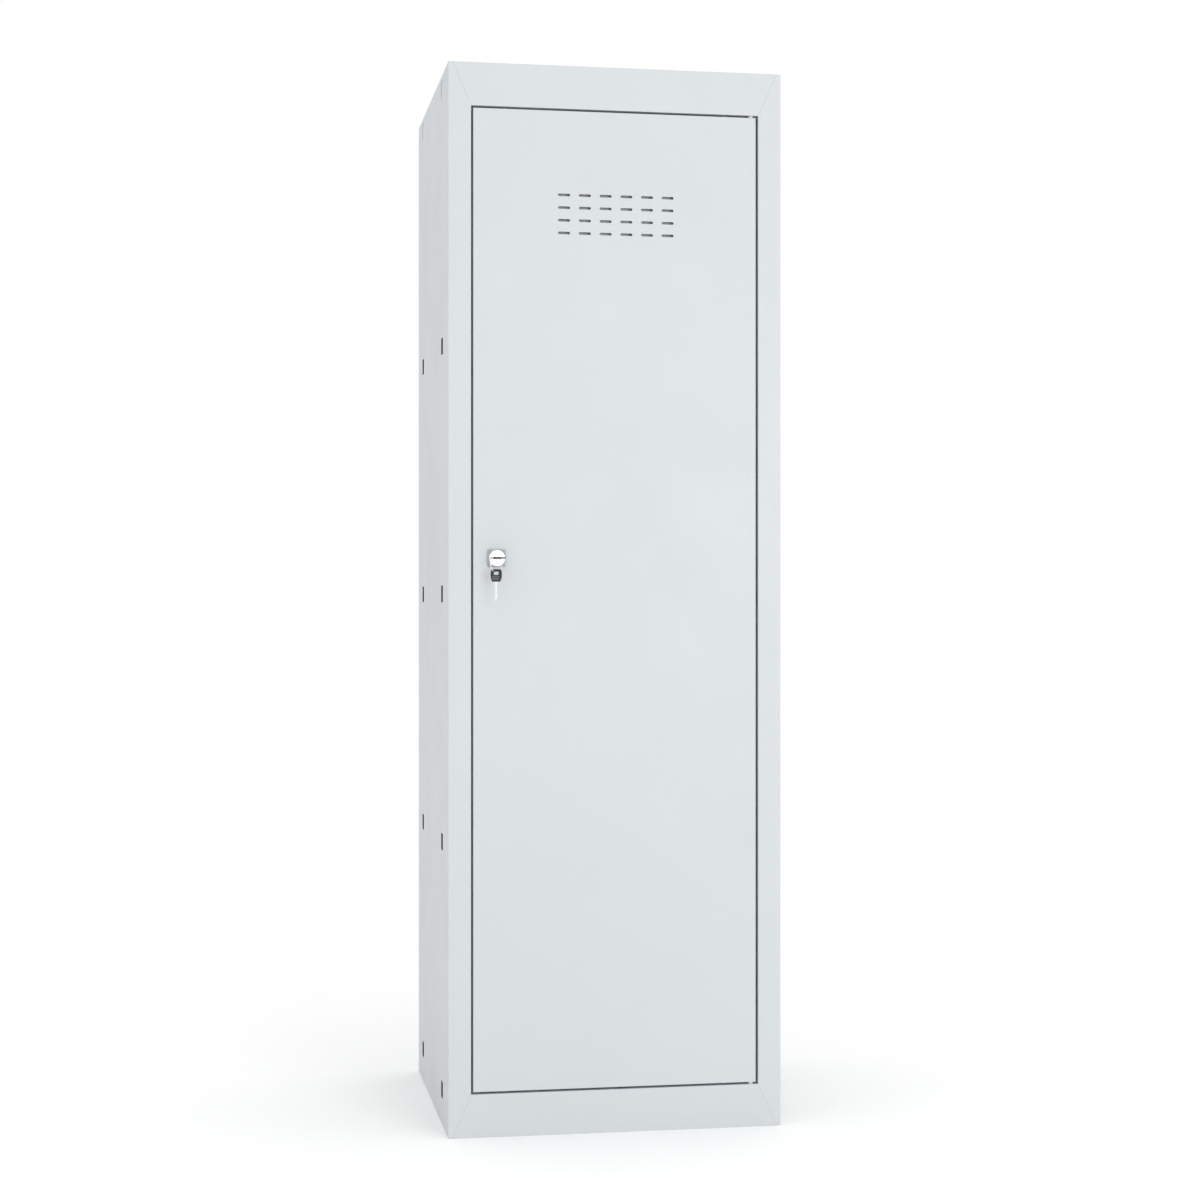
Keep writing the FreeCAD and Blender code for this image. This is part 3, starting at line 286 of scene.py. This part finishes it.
def bevel_steps(low, high, bevel_low, bevel_high, steps=3):
    """(inset, height) pairs up a plate's edge, round at both rims."""
    pairs = []
    for step in range(steps + 1):
        angle = QUARTER_TURN * step / steps
        pairs.append((bevel_low * (1 - math.sin(angle)), low + bevel_low * (1 - math.cos(angle))))
    for step in range(steps + 1):
        angle = QUARTER_TURN * step / steps
        pairs.append((bevel_high * (1 - math.cos(angle)), high - bevel_high * (1 - math.sin(angle))))
    return pairs


def plate(outer, holes, low, high, bevel_low, bevel_high=None):
    """Flat mesh between two heights, with rounded rims round its outline and its holes."""
    bevel_high = bevel_low if bevel_high is None else bevel_high
    mesh = bmesh.new()
    loops = [oriented(outer, True)] + [oriented(hole, False) for hole in holes]
    ends = ([], [])
    for loop in loops:
        rings = []
        for depth, height in bevel_steps(low, high, bevel_low, bevel_high):
            rings.append([mesh.verts.new((point.x, point.y, height)) for point in inset(loop, depth)])
        bridge(mesh, rings)
        for end, ring in zip(ends, (rings[0], rings[-1])):
            end.extend(mesh.edges.get((a, b)) for a, b in zip(ring, ring[1:] + ring[:1]))
    for end in ends:
        bmesh.ops.triangle_fill(mesh, edges=end, use_beauty=True)
    return mesh


def bridge(mesh, rings):
    """Quads between rings of equal length; a ring of one point closes in a fan."""
    for lower, upper in zip(rings, rings[1:]):
        count = max(len(lower), len(upper))
        for index in range(count):
            following = (index + 1) % count
            corners = [lower[index % len(lower)], lower[following % len(lower)]]
            corners += [upper[following % len(upper)], upper[index % len(upper)]]
            mesh.faces.new(list(dict.fromkeys(corners)))


def lathe(profile, sides=48):
    """Mesh turned round Z from (radius, height) points, closed round a bore unless it meets the axis."""
    mesh = bmesh.new()
    rings = []
    for radius, height in profile:
        around = polygon(sides, radius) if radius > 0 else [Vector((0, 0))]
        rings.append([mesh.verts.new((point.x, point.y, height)) for point in around])
    if profile[0][0] > 0:
        rings.append(rings[0])
    bridge(mesh, rings)
    return mesh


def turned(corners, sides=48):
    """Lathe work whose profile has rounded corners, given as (radius, height, rounding)."""
    return lathe([tuple(point) for point in rounded(corners, 3)], sides)


def facing(direction, place, turn=0.0):
    """Matrix that stands a mesh's Z along direction at a place in metres, its own units millimetres."""
    aim = direction.to_track_quat("Z", "Y").to_matrix().to_4x4()
    spin = Matrix.Rotation(turn, 4, "Z")
    return Matrix.Translation(place) @ aim @ spin @ Matrix.Scale(MM, 4)


def lying(place, yaw=0.0, pitch=0.0):
    """Matrix for a mesh drawn flat in XY, pitched about X and then turned about Z."""
    turn = Matrix.Rotation(yaw, 4, "Z") @ Matrix.Rotation(pitch, 4, "X")
    return Matrix.Translation(place) @ turn @ Matrix.Scale(MM, 4)


def make_object(name, meshes, matrix):
    """One object from separate closed meshes, each with its faces turned outwards."""
    whole = bpy.data.meshes.new(name)
    merged = bmesh.new()
    for mesh in meshes:
        bmesh.ops.recalc_face_normals(mesh, faces=mesh.faces)
        if mesh.calc_volume(signed=True) < 0:
            bmesh.ops.reverse_faces(mesh, faces=mesh.faces)
        mesh.to_mesh(whole)
        mesh.free()
        merged.from_mesh(whole)
    merged.transform(matrix)
    merged.to_mesh(whole)
    merged.free()
    piece = bpy.data.objects.new(name, whole)
    bpy.context.scene.collection.objects.link(piece)
    return piece


def combine(piece, other, operation):
    """Applies a boolean between two objects to the first and removes the second."""
    modifier = piece.modifiers.new("combine", "BOOLEAN")
    modifier.operation = operation
    modifier.solver = "EXACT"
    modifier.object = other
    graph = bpy.context.evaluated_depsgraph_get()
    made = bpy.data.meshes.new_from_object(piece.evaluated_get(graph))
    piece.modifiers.clear()
    piece.data = made
    bpy.data.objects.remove(other)
    return piece


def shade_by_angle(piece, limit=math.radians(32)):
    mesh = bmesh.new()
    mesh.from_mesh(piece.data)
    for face in mesh.faces:
        face.smooth = True
    for edge in mesh.edges:
        edge.smooth = edge.calc_face_angle(0) < limit
    mesh.to_mesh(piece.data)
    mesh.free()


def stand_in(piece, node, finish=None):
    """The piece rides where its CAD node does, wears the material of that node's slot unless another finish
    is given, and is shown in its stead.
    """
    shade_by_angle(piece)
    piece.data.materials.clear()
    piece.data.materials.append(MATERIALS[finish or SLOTS[node]])
    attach(piece, NODES[node]["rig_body"])
    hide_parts(node)
    return piece


def middle(node):
    low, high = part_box(node)
    return (low + high) / 2


def size(node):
    """A node's box sizes in millimetres."""
    low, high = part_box(node)
    return (high - low) / MM


def solids(node):
    """(lowest corner, highest corner) of each separate solid of a node."""
    mesh = bmesh.new()
    mesh.from_mesh(NODES[node].data)
    bmesh.ops.remove_doubles(mesh, verts=mesh.verts, dist=SAME_POINT)
    unseen = set(mesh.verts)
    boxes = []
    while unseen:
        waiting = [unseen.pop()]
        points = []
        while waiting:
            vert = waiting.pop()
            points.append(vert.co.copy())
            for edge in vert.link_edges:
                other = edge.other_vert(vert)
                if other in unseen:
                    unseen.remove(other)
                    waiting.append(other)
        low = Vector([min(point[axis] for point in points) for axis in range(3)])
        high = Vector([max(point[axis] for point in points) for axis in range(3)])
        boxes.append((low, high))
    mesh.free()
    return sorted(boxes, key=lambda box: tuple(round(value, 4) for value in box[0]))


# Folded sheets: the CAD meshes, with their corners eased.

def sheet_metal(node, easing, clamped=True):
    """Shows a CAD node with its flat areas made single faces, its edges eased and its flats kept flat.

    Where no two edges lie closer than twice the easing, it need not be clamped and is the same all over.
    """
    one_plane = math.radians(0.2)
    fold = math.radians(40)
    piece = NODES[node]
    piece.data.materials.clear()
    piece.data.materials.append(MATERIALS[SLOTS[node]])
    weld = piece.modifiers.new("join", "WELD")
    weld.merge_threshold = 0.01 * MM
    merge = piece.modifiers.new("merge coplanar", "DECIMATE")
    merge.decimate_type = "DISSOLVE"
    merge.angle_limit = one_plane
    ease = piece.modifiers.new("ease", "BEVEL")
    ease.width = easing
    ease.segments = 2
    ease.use_clamp_overlap = clamped
    ease.limit_method = "ANGLE"
    ease.angle_limit = fold
    flats = piece.modifiers.new("flats", "WEIGHTED_NORMAL")
    flats.keep_sharp = False
    flats.weight = 100


def sheet_parts():
    for node in ("left_side_panel", "right_side_panel", "back_panel", "top_panel", "floor_panel"):
        sheet_metal(node, 0.3 * MM)
    for node in ("left_stile", "right_stile", "top_rail", "bottom_rail", "hat_shelf"):
        sheet_metal(node, 0.4 * MM, clamped=False)
    for node in ("left_shelf_bearer", "right_shelf_bearer", "door_skin", "door_stiffener", "vent_baffle"):
        sheet_metal(node, 0.3 * MM)
    for node in ("top_pivot_bracket", "bottom_pivot_bracket"):
        sheet_metal(node, 0.5 * MM)


def flat_fitting(node, normal, corner, bore, bore_at):
    """A rounded flat plate for a box-shaped node, bored round if bore is a radius in millimetres."""
    bevel = 0.4
    low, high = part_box(node)
    extent = (high - low) / MM
    centre = (low + high) / 2
    matrix = facing(normal, centre)
    across = [abs(matrix.to_3x3().normalized().col[axis].dot(extent)) for axis in range(3)]
    holes = []
    if bore:
        local = matrix.inverted() @ bore_at
        holes.append(polygon(40, bore, local.x, local.y))
    outline = rounded_rectangle(across[0], across[1], corner)
    mesh = plate(outline, holes, -across[2] / 2, across[2] / 2, bevel)
    stand_in(make_object(f"{node}_piece", [mesh], matrix), node)


def hinge_bush(node, outward, axis):
    """Nylon sleeve on the pivot's axis, with a flange at its outer end."""
    low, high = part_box(node)
    radius = size(node).x / 2
    flange = 1.5
    sleeve_radius = radius - flange
    bore = 3.05
    length = size(node).z
    shoulder = length - flange
    start = Vector((axis.x, axis.y, low.z if outward.z > 0 else high.z))
    sleeve = turned([
        (bore, 0, 0.3),
        (sleeve_radius, 0, 0.3),
        (sleeve_radius, shoulder, 0),
        (radius, shoulder, 0.3),
        (radius, length, 0.4),
        (bore, length, 0.4),
    ])
    stand_in(make_object(f"{node}_piece", [sleeve], facing(outward, start)), node)


def hinge_pin(node, outward):
    """Turned pin with chamfered ends and a shallow groove near its outer end."""
    half = size(node).z / 2
    radius = size(node).x / 2
    groove_radius = radius - 0.3
    groove = half - 4
    rod = lathe([
        (0, -half),
        (radius - 0.5, -half),
        (radius, 0.5 - half),
        (radius, groove - 1),
        (groove_radius, groove - 0.8),
        (groove_radius, groove + 0.2),
        (radius, groove + 0.4),
        (radius, half - 1),
        (radius - 0.25, half - 0.4),
        (radius - 1, half),
        (0, half),
    ])
    stand_in(make_object(f"{node}_piece", [rod], facing(outward, middle(node))), node)


def hinge_washer(node):
    half = size(node).z / 2
    radius = size(node).x / 2
    bore = 3.1
    disc = turned([(bore, -half, 0.3), (radius, -half, 0.5), (radius, half, 0.5), (bore, half, 0.3)])
    stand_in(make_object(f"{node}_piece", [disc], facing(UP, middle(node))), node)


def pivots():
    """Plates, bushes, pins and washers of the two pivots."""
    axis = middle("top_hinge_pin")
    bush_hole = 5.05
    for position, outward in (("top", UP), ("bottom", -UP)):
        flat_fitting(f"{position}_hinge_plate", UP, 3.0, bush_hole, axis)
        hinge_bush(f"{position}_hinge_bush", outward, axis)
        hinge_pin(f"{position}_hinge_pin", outward)
        hinge_washer(f"{position}_hinge_washer")


def many(node, build):
    """Builds one mesh for each solid of a node and shows them as a single piece."""
    parts = [build(low, high) for low, high in solids(node)]
    whole = parts[0]
    for part in parts[1:]:
        merged = bmesh.new()
        merged.from_mesh(whole.data)
        merged.from_mesh(part.data)
        merged.to_mesh(whole.data)
        merged.free()
        bpy.data.objects.remove(part)
    whole.name = f"{node}_piece"
    stand_in(whole, node)


def glide(low, high):
    """Mushroom button: a low dome on a stem that goes into the door's edge."""
    outward = UP if low.z > middle("door_skin").z else -UP
    head = (high.x - low.x) / 2 / MM
    length = (high.z - low.z) / MM
    rise = 2.2
    stem = length - rise
    stem_radius = 2
    start = Vector(((low.x + high.x) / 2, (low.y + high.y) / 2, low.z if outward.z > 0 else high.z))
    mesh = lathe([
        (0, 0),
        (stem_radius - 0.4, 0),
        (stem_radius, 0.4),
        (stem_radius, stem),
        (head - 0.2, stem),
        (head, stem + 0.3),
        (head * 0.97, stem + rise * 0.55),
        (head * 0.78, stem + rise * 0.84),
        (head * 0.45, stem + rise * 0.97),
        (0, length),
    ])
    return make_object("glide", [mesh], facing(outward, start))


def buffer(low, high):
    """Rubber button with a shallow dimple in its face."""
    radius = (high.x - low.x) / 2 / MM
    rise = (high.y - low.y) / MM
    start = Vector(((low.x + high.x) / 2, high.y, (low.z + high.z) / 2))
    mesh = lathe([
        (0, 0),
        (radius, 0),
        (radius, rise * 0.5),
        (radius * 0.93, rise * 0.78),
        (radius * 0.74, rise * 0.95),
        (radius * 0.5, rise),
        (radius * 0.3, rise * 0.92),
        (0, rise * 0.86),
    ])
    return make_object("buffer", [mesh], facing(TO_FRONT, start))


def inward_of(low, high):
    """The way into the locker from a fitting on one of its sides."""
    return Vector((1, 0, 0)) if low.x + high.x < 0 else Vector((-1, 0, 0))


def side_face(low, high, inward):
    """Middle of a fitting's face against the side panel."""
    return Vector((low.x if inward.x > 0 else high.x, (low.y + high.y) / 2, (low.z + high.z) / 2))


def rivet(low, high):
    """Blind rivet's head, with the hole its mandrel leaves."""
    inward = inward_of(low, high)
    radius = (high.y - low.y) / 2 / MM
    rise = (high.x - low.x) / MM
    mesh = lathe([
        (0, 0),
        (radius, 0),
        (radius * 0.97, rise * 0.35),
        (radius * 0.8, rise * 0.74),
        (radius * 0.55, rise * 0.94),
        (radius * 0.34, rise),
        (radius * 0.28, rise * 0.7),
        (0, rise * 0.55),
    ], 32)
    return make_object("rivet", [mesh], facing(inward, side_face(low, high, inward)))


def pan_head(radius, rise):
    """Profile of a pan screw head, from its rim to its middle."""
    return [
        (radius * 0.96, 0),
        (radius, rise * 0.2),
        (radius * 0.98, rise * 0.5),
        (radius * 0.88, rise * 0.8),
        (radius * 0.6, rise * 0.96),
        (0, rise),
    ]


def cross_recess(reach, width, low, high):
    """Cutter for a cross-headed screw: a rounded cross, narrower at the bottom."""
    corners = []
    for quarter in range(4):
        turn = Matrix.Rotation(quarter * QUARTER_TURN, 2)
        for x, y, rounding in ((reach, -width, 0.2), (reach, width, 0.2), (width, width, 0.1)):
            corner = turn @ Vector((x, y))
            corners.append((corner.x, corner.y, rounding))
    return plate(rounded(corners, 3), [], low, high, 0.12)


def screw(low, high):
    """Pan-headed screw; its cross is turned one way on the left and another way on the right."""
    inward = inward_of(low, high)
    radius = (high.y - low.y) / 2 / MM
    rise = (high.x - low.x) / MM
    least_turn = 20
    spread = 70
    hundredths_of_mm = 1e5
    turn = math.radians(least_turn + hundredths_of_mm * (low.y + low.x) % spread)
    matrix = facing(inward, side_face(low, high, inward), turn)
    head = make_object("screw", [lathe([(0, 0), *pan_head(radius, rise)], 32)], matrix)
    recess = cross_recess(radius * 0.55, radius * 0.13, rise * 0.35, rise + 1)
    return combine(head, make_object("recess", [recess], matrix), "DIFFERENCE")


def rail_socket(low, high):
    """Cup with a rounded mouth on a plate with rounded ends."""
    inward = inward_of(low, high)
    length = (high.y - low.y) / MM
    width = (high.z - low.z) / MM
    depth = (high.x - low.x) / MM
    floor = 2.0
    foot = floor - 0.4
    bore = 10.2
    rim = 13.0
    corner = 9.0
    matrix = facing(inward, side_face(low, high, inward))
    across = matrix.to_3x3().normalized().col[0]
    if abs(across.y) > 0.5:
        outline = rounded_rectangle(length, width, corner)
    else:
        outline = rounded_rectangle(width, length, corner)
    base = make_object("socket", [plate(outline, [], 0, floor, 0.1, 0.7)], matrix)
    cup = turned([(bore, foot, 0), (rim, foot, 0), (rim, depth, 1.0), (bore, depth, 1.0)])
    return combine(base, make_object("cup", [cup], matrix), "UNION")


def coat_rail():
    """Chromed tube with rounded ends."""
    node = "coat_rail"
    half = size(node).x / 2
    radius = size(node).z / 2
    bore = radius - 1.2
    tube = turned([(bore, -half, 0.4), (radius, -half, 0.4), (radius, half, 0.4), (bore, half, 0.4)], 64)
    matrix = facing(Vector((1, 0, 0)), middle(node))
    stand_in(make_object("coat_rail_piece", [tube], matrix), node, "chrome_tube")


# Lock. Everything is on the plug's axis, which runs from back to front.

HOUSING_HOLE = 9.7


def on_axis(node, axis):
    """Matrix for a mesh that rises to the front on the lock's axis, from the back of a node's box."""
    return facing(TO_FRONT, Vector((axis.x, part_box(node)[1].y, axis.z)))


def escutcheon(axis):
    node = "lock_escutcheon"
    outline = rounded_rectangle(size(node).x, size(node).z, 2.6)
    boss = plate(outline, [polygon(48, HOUSING_HOLE)], 0, size(node).y, 0.1, 1.1)
    stand_in(make_object(f"{node}_piece", [boss], on_axis(node, axis)), node)


def housing(axis):
    """Bevelled head with a fine groove, and a threaded barrel, measured from the barrel's inner end."""
    node = "lock_housing"
    bore = 6.05
    head_radius = size(node).x / 2
    barrel_radius = 9.5
    length = size(node).y
    shoulder = length - 2.5
    pitch = 1.0
    thread_depth = 0.55
    thread_start = 0.8
    thread_turns = int(shoulder - 3)
    profile = [(bore, 0), (barrel_radius - thread_start, 0)]
    for turn in range(thread_turns):
        profile.append((barrel_radius, thread_start + turn * pitch))
        profile.append((barrel_radius - thread_depth, thread_start + (turn + 0.5) * pitch))
    profile += [
        (barrel_radius, shoulder - 1.6),
        (barrel_radius, shoulder),
        (head_radius - 0.2, shoulder),
        (head_radius, shoulder + 0.25),
        (head_radius, length - 1.1),
        (head_radius - 0.25, length - 0.6),
        (head_radius - 0.9, length - 0.05),
        (head_radius - 1.3, length),
        (head_radius - 2.2, length),
        (head_radius - 2.4, length - 0.3),
        (head_radius - 2.7, length - 0.3),
        (head_radius - 2.9, length),
        (bore + 0.5, length),
        (bore, length - 0.4),
    ]
    stand_in(make_object(f"{node}_piece", [lathe(profile, 72)], on_axis(node, axis)), node)


def lock_nut(axis):
    node = "lock_nut"
    thread = 9.55
    hexagon = [(point.x, point.y, 1.0) for point in polygon(6, size(node).x / 2)]
    nut = plate(rounded(hexagon, 3), [polygon(48, thread)], 0, size(node).y, 0.7)
    stand_in(make_object(f"{node}_piece", [nut], on_axis(node, axis)), node)


def lock_plug():
    """The CAD plug with its edges eased, in chrome."""
    sheet_metal("lock_plug", 0.2 * MM)
    NODES["lock_plug"].data.materials[0] = MATERIALS["chrome"]


def cam(axis):
    """Rounded finger with a square hole, drawn as seen from the front."""
    node = "lock_cam"
    low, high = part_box(node)
    half = size(node).x / 2
    tip = (high.z - axis.z) / MM
    heel = (low.z - axis.z) / MM
    corner = 5
    square = 7.1
    outline = rounded([
        (-half, heel, corner),
        (half, heel, corner),
        (half, tip, corner),
        (-half, tip, corner),
    ])
    mesh = plate(outline, [rounded_rectangle(square, square, 0.3)], 0, size(node).y, 0.35)
    place = Vector((axis.x, low.y, axis.z))
    matrix = lying(place, pitch=QUARTER_TURN) @ Matrix.Translation((0, 0, -size(node).y))
    stand_in(make_object(f"{node}_piece", [mesh], matrix), node)


def cam_screw(axis):
    """Pan-headed screw that holds the cam on the plug's inner end."""
    node = "cam_screw"
    head = 3.0
    shank_end = head - size(node).y
    radius = size(node).x / 2
    shank = 2.45
    start = Vector((axis.x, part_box(node)[1].y - head * MM, axis.z))
    profile = [(0, shank_end), (shank - 0.5, shank_end), (shank, shank_end + 0.5), (shank, 0)]
    matrix = facing(TO_BACK, start, math.radians(25))
    piece = make_object(f"{node}_piece", [lathe([*profile, *pan_head(radius, head)], 40)], matrix)
    recess = make_object("recess", [cross_recess(2.6, 0.6, 1.2, head + 1)], matrix)
    stand_in(combine(piece, recess, "DIFFERENCE"), node)


def lock():
    axis = middle("lock_plug")
    escutcheon(axis)
    housing(axis)
    flat_fitting("lock_backing_plate", TO_FRONT, 4.0, HOUSING_HOLE, axis)
    flat_fitting("strike_plate", TO_FRONT, 2.0, None, None)
    lock_nut(axis)
    cam(axis)
    cam_screw(axis)
    lock_plug()


# Keys, drawn flat with the bow towards -Y, the blade towards +Y and the origin at the bow's foot.

BITTING = (0.7, 0.3, 0.9, 0.5, 0.8, 0.3, 0.6)
BOW_HALF_THICKNESS = 1.5
GRIP_FLOOR = 1.1
GRIP_CORNERS = [(7.6, -2.6, 2.2), (9.2, -10.4, 2.2), (-9.2, -10.4, 2.2), (-7.6, -2.6, 2.2)]


def grip_ribs():
    """Low bars across the grips of both faces."""
    root = GRIP_FLOOR - 0.2
    top = GRIP_FLOOR + 0.25
    ribs = []
    for along in (-4.1, -5.3, -6.5, -7.7, -8.9):
        bar = rounded_rectangle(13, 0.55, 0.25, 0, along)
        ribs.append(plate(bar, [], root, top, 0.1))
        ribs.append(plate(bar, [], -top, -root, 0.1))
    return ribs


def colour_grips(bow, matrix):
    """Gives what lies inside the two grips a second, lighter material."""
    bow.data.materials.append(MATERIALS["key_grip"])
    margin = 0.1
    reach = max(corner[0] for corner in GRIP_CORNERS) + margin
    lowest = min(corner[1] for corner in GRIP_CORNERS) - margin
    highest = max(corner[1] for corner in GRIP_CORNERS) + margin
    to_drawing = matrix.inverted()
    for face in bow.data.polygons:
        centre = to_drawing @ face.center
        sunk = abs(centre.z) < BOW_HALF_THICKNESS - margin / 2
        if sunk and abs(centre.x) < reach and lowest < centre.y < highest:
            face.material_index = 1


def key_bow(name, matrix):
    """Moulded head with a rounded eye and a sunk, ribbed grip on each face."""
    outline = rounded([
        (8.3, 0, 2.6),
        (12.0, -6.5, 9),
        (12.4, -14, 14),
        (11.0, -21.9, 4.6),
        (-11.0, -21.9, 4.6),
        (-12.4, -14, 14),
        (-12.0, -6.5, 9),
        (-8.3, 0, 2.6),
    ], 6)
    eye = rounded_rectangle(13, 5.6, 1.3, 0, -14.9)
    head = plate(outline, [eye], -BOW_HALF_THICKNESS, BOW_HALF_THICKNESS, 0.45)
    bow = make_object(f"{name}_piece", [head], matrix)
    outside = BOW_HALF_THICKNESS + 1
    for low, high in ((GRIP_FLOOR, outside), (-outside, -GRIP_FLOOR)):
        sunk = make_object("grip", [plate(rounded(GRIP_CORNERS), [], low, high, 0.2)], matrix)
        combine(bow, sunk, "DIFFERENCE")
    combine(bow, make_object("ribs", grip_ribs(), matrix), "UNION")
    stand_in(bow, name)
    colour_grips(bow, matrix)


def key_blade(name, matrix):
    """Flat steel blade: shoulders, bitting on both edges, a groove along each face and a pointed tip."""
    head = 3.8
    half = 2.6
    start = -1.9
    shoulder = 3.0
    tip = 32.0
    first_notch = shoulder + 6.2
    pitch = 2.7
    half_flat = 0.45
    edge = []
    for index, depth in enumerate(BITTING):
        along = first_notch + index * pitch
        edge += [(half - depth, along - half_flat), (half - depth, along + half_flat)]
    neck = [(head, start), (head, shoulder - 0.6), (head - 0.6, shoulder), (half, shoulder)]
    right = [*neck, (half, shoulder + 4.8), *edge, (half - 0.2, tip - 2.4), (1.0, tip)]
    left = [(-x, y) for x, y in reversed(right)]
    outline = [Vector(point) for point in right + left]
    blade = make_object(f"{name}_piece", [plate(outline, [], -1.0, 1.0, 0.18)], matrix)
    groove_middle = shoulder + 1 + tip / 2
    for side, low, high in ((0.45, 0.55, 2.0), (-0.45, -2.0, -0.55)):
        groove = plate(rounded_rectangle(1.2, tip, 0.4, side, groove_middle), [], low, high, 0.15)
        combine(blade, make_object("groove", [groove], matrix), "DIFFERENCE")
    stand_in(blade, name)


RING_YAW = math.radians(50)


def keys():
    low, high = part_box("key_bow")
    in_lock = lying(Vector(((low.x + high.x) / 2, high.y, (low.z + high.z) / 2)))
    key_bow("key_bow", in_lock)
    key_blade("key_blade", in_lock)
    hanging = middle("spare_key_bow")
    hanging.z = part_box("spare_key_bow")[0].z
    spare = lying(hanging, -RING_YAW, -QUARTER_TURN)
    key_bow("spare_key_bow", spare)
    key_blade("spare_key_blade", spare)


def key_ring():
    """Split ring: two close turns of wire that change sides across a short step."""
    node = "key_ring"
    wire = 0.385
    aside = 0.4
    node_wire = 0.8
    radius = size(node).z / 2 - node_wire
    end_gap = 0.22
    step_turn = 0.6
    step_start = FULL_TURN - step_turn / 2
    sides = 14
    count = 288
    along = Vector((math.sin(RING_YAW), math.cos(RING_YAW), 0))
    normal = Vector((-along.y, along.x, 0))
    mesh = bmesh.new()
    rings = []
    for index in range(count + 1):
        angle = end_gap + 2 * (FULL_TURN - end_gap) * index / count
        share = min(1.0, max(0.0, (angle - step_start) / step_turn))
        offset = aside * (2 * share * share * (3 - 2 * share) - 1)
        spoke = along * math.cos(angle) + UP * math.sin(angle)
        centre = spoke * radius + normal * offset
        ring = []
        for side in range(sides):
            turn = FULL_TURN * side / sides
            ring.append(mesh.verts.new(centre + (spoke * math.cos(turn) + normal * math.sin(turn)) * wire))
        rings.append(ring)
    bridge(mesh, rings)
    mesh.faces.new(rings[0])
    mesh.faces.new(rings[-1])
    stand_in(make_object(f"{node}_piece", [mesh], lying(middle(node))), node)


# Stage: a pale floor, soft light all round and a large soft key light.

def stage():
    """Even white surroundings, and a floor much larger than the view."""
    world = bpy.data.worlds.new("studio")
    bpy.context.scene.world = world
    world.use_nodes = True
    background = world.node_tree.nodes["Background"]
    background.inputs["Color"].default_value = (1.0, 1.0, 1.0, 1)
    background.inputs["Strength"].default_value = 1.0
    bpy.ops.mesh.primitive_plane_add(size=60, location=(0, 0, 0))
    floor = bpy.context.object
    floor.name = "floor"
    material, shader = new_material("studio floor", 0.9)
    shader.inputs["Specular IOR Level"].default_value = 0.1
    colour_between(material, shader, noise(material, 0.6), (0.90, 0.90, 0.90), (0.92, 0.92, 0.92))
    floor.data.materials.append(material)


def area_light(name, place, target, width, power):
    data = bpy.data.lights.new(name, "AREA")
    data.shape = "SQUARE"
    data.size = width
    data.energy = power
    light = bpy.data.objects.new(name, data)
    light.location = place
    light.rotation_euler = (Vector(target) - Vector(place)).to_track_quat("-Z", "Y").to_euler()
    bpy.context.scene.collection.objects.link(light)


def overhead():
    """Weak, very wide light straight down, which keeps the floor as pale as the surroundings."""
    data = bpy.data.lights.new("overhead", "SUN")
    data.energy = 0.4
    data.angle = math.radians(60)
    light = bpy.data.objects.new("overhead", data)
    bpy.context.scene.collection.objects.link(light)


def lights():
    """A large key light from the front right, a weak fill from above left, and a weak overhead sun."""
    chest = (0, 0, 1.1)
    area_light("key", (2.0, -6.0, 1.5), chest, 2.4, 100)
    area_light("fill", (-3.4, -2.2, 2.2), chest, 2.5, 2)
    overhead()


def camera():
    """Level camera at mid-height, to the left of the locker, with a standard-long lens."""
    data = bpy.data.cameras.new("camera")
    data.sensor_width = 36
    data.lens = 64.2
    data.shift_x = 0.027
    data.shift_y = -0.0008
    view = bpy.data.objects.new("camera", data)
    view.location = (-0.7052, -4.0104, 0.9466)
    view.rotation_euler = (math.radians(90), 0, math.radians(-9.38))
    bpy.context.scene.collection.objects.link(view)
    bpy.context.scene.camera = view


sheet_parts()
pivots()
many("door_glides", glide)
many("door_buffers", buffer)
many("shelf_rivets", rivet)
many("rail_sockets", rail_socket)
many("socket_screws", screw)
coat_rail()
lock()
keys()
key_ring()
stage()
lights()
camera()
bpy.context.scene.view_settings.view_transform = "Standard"
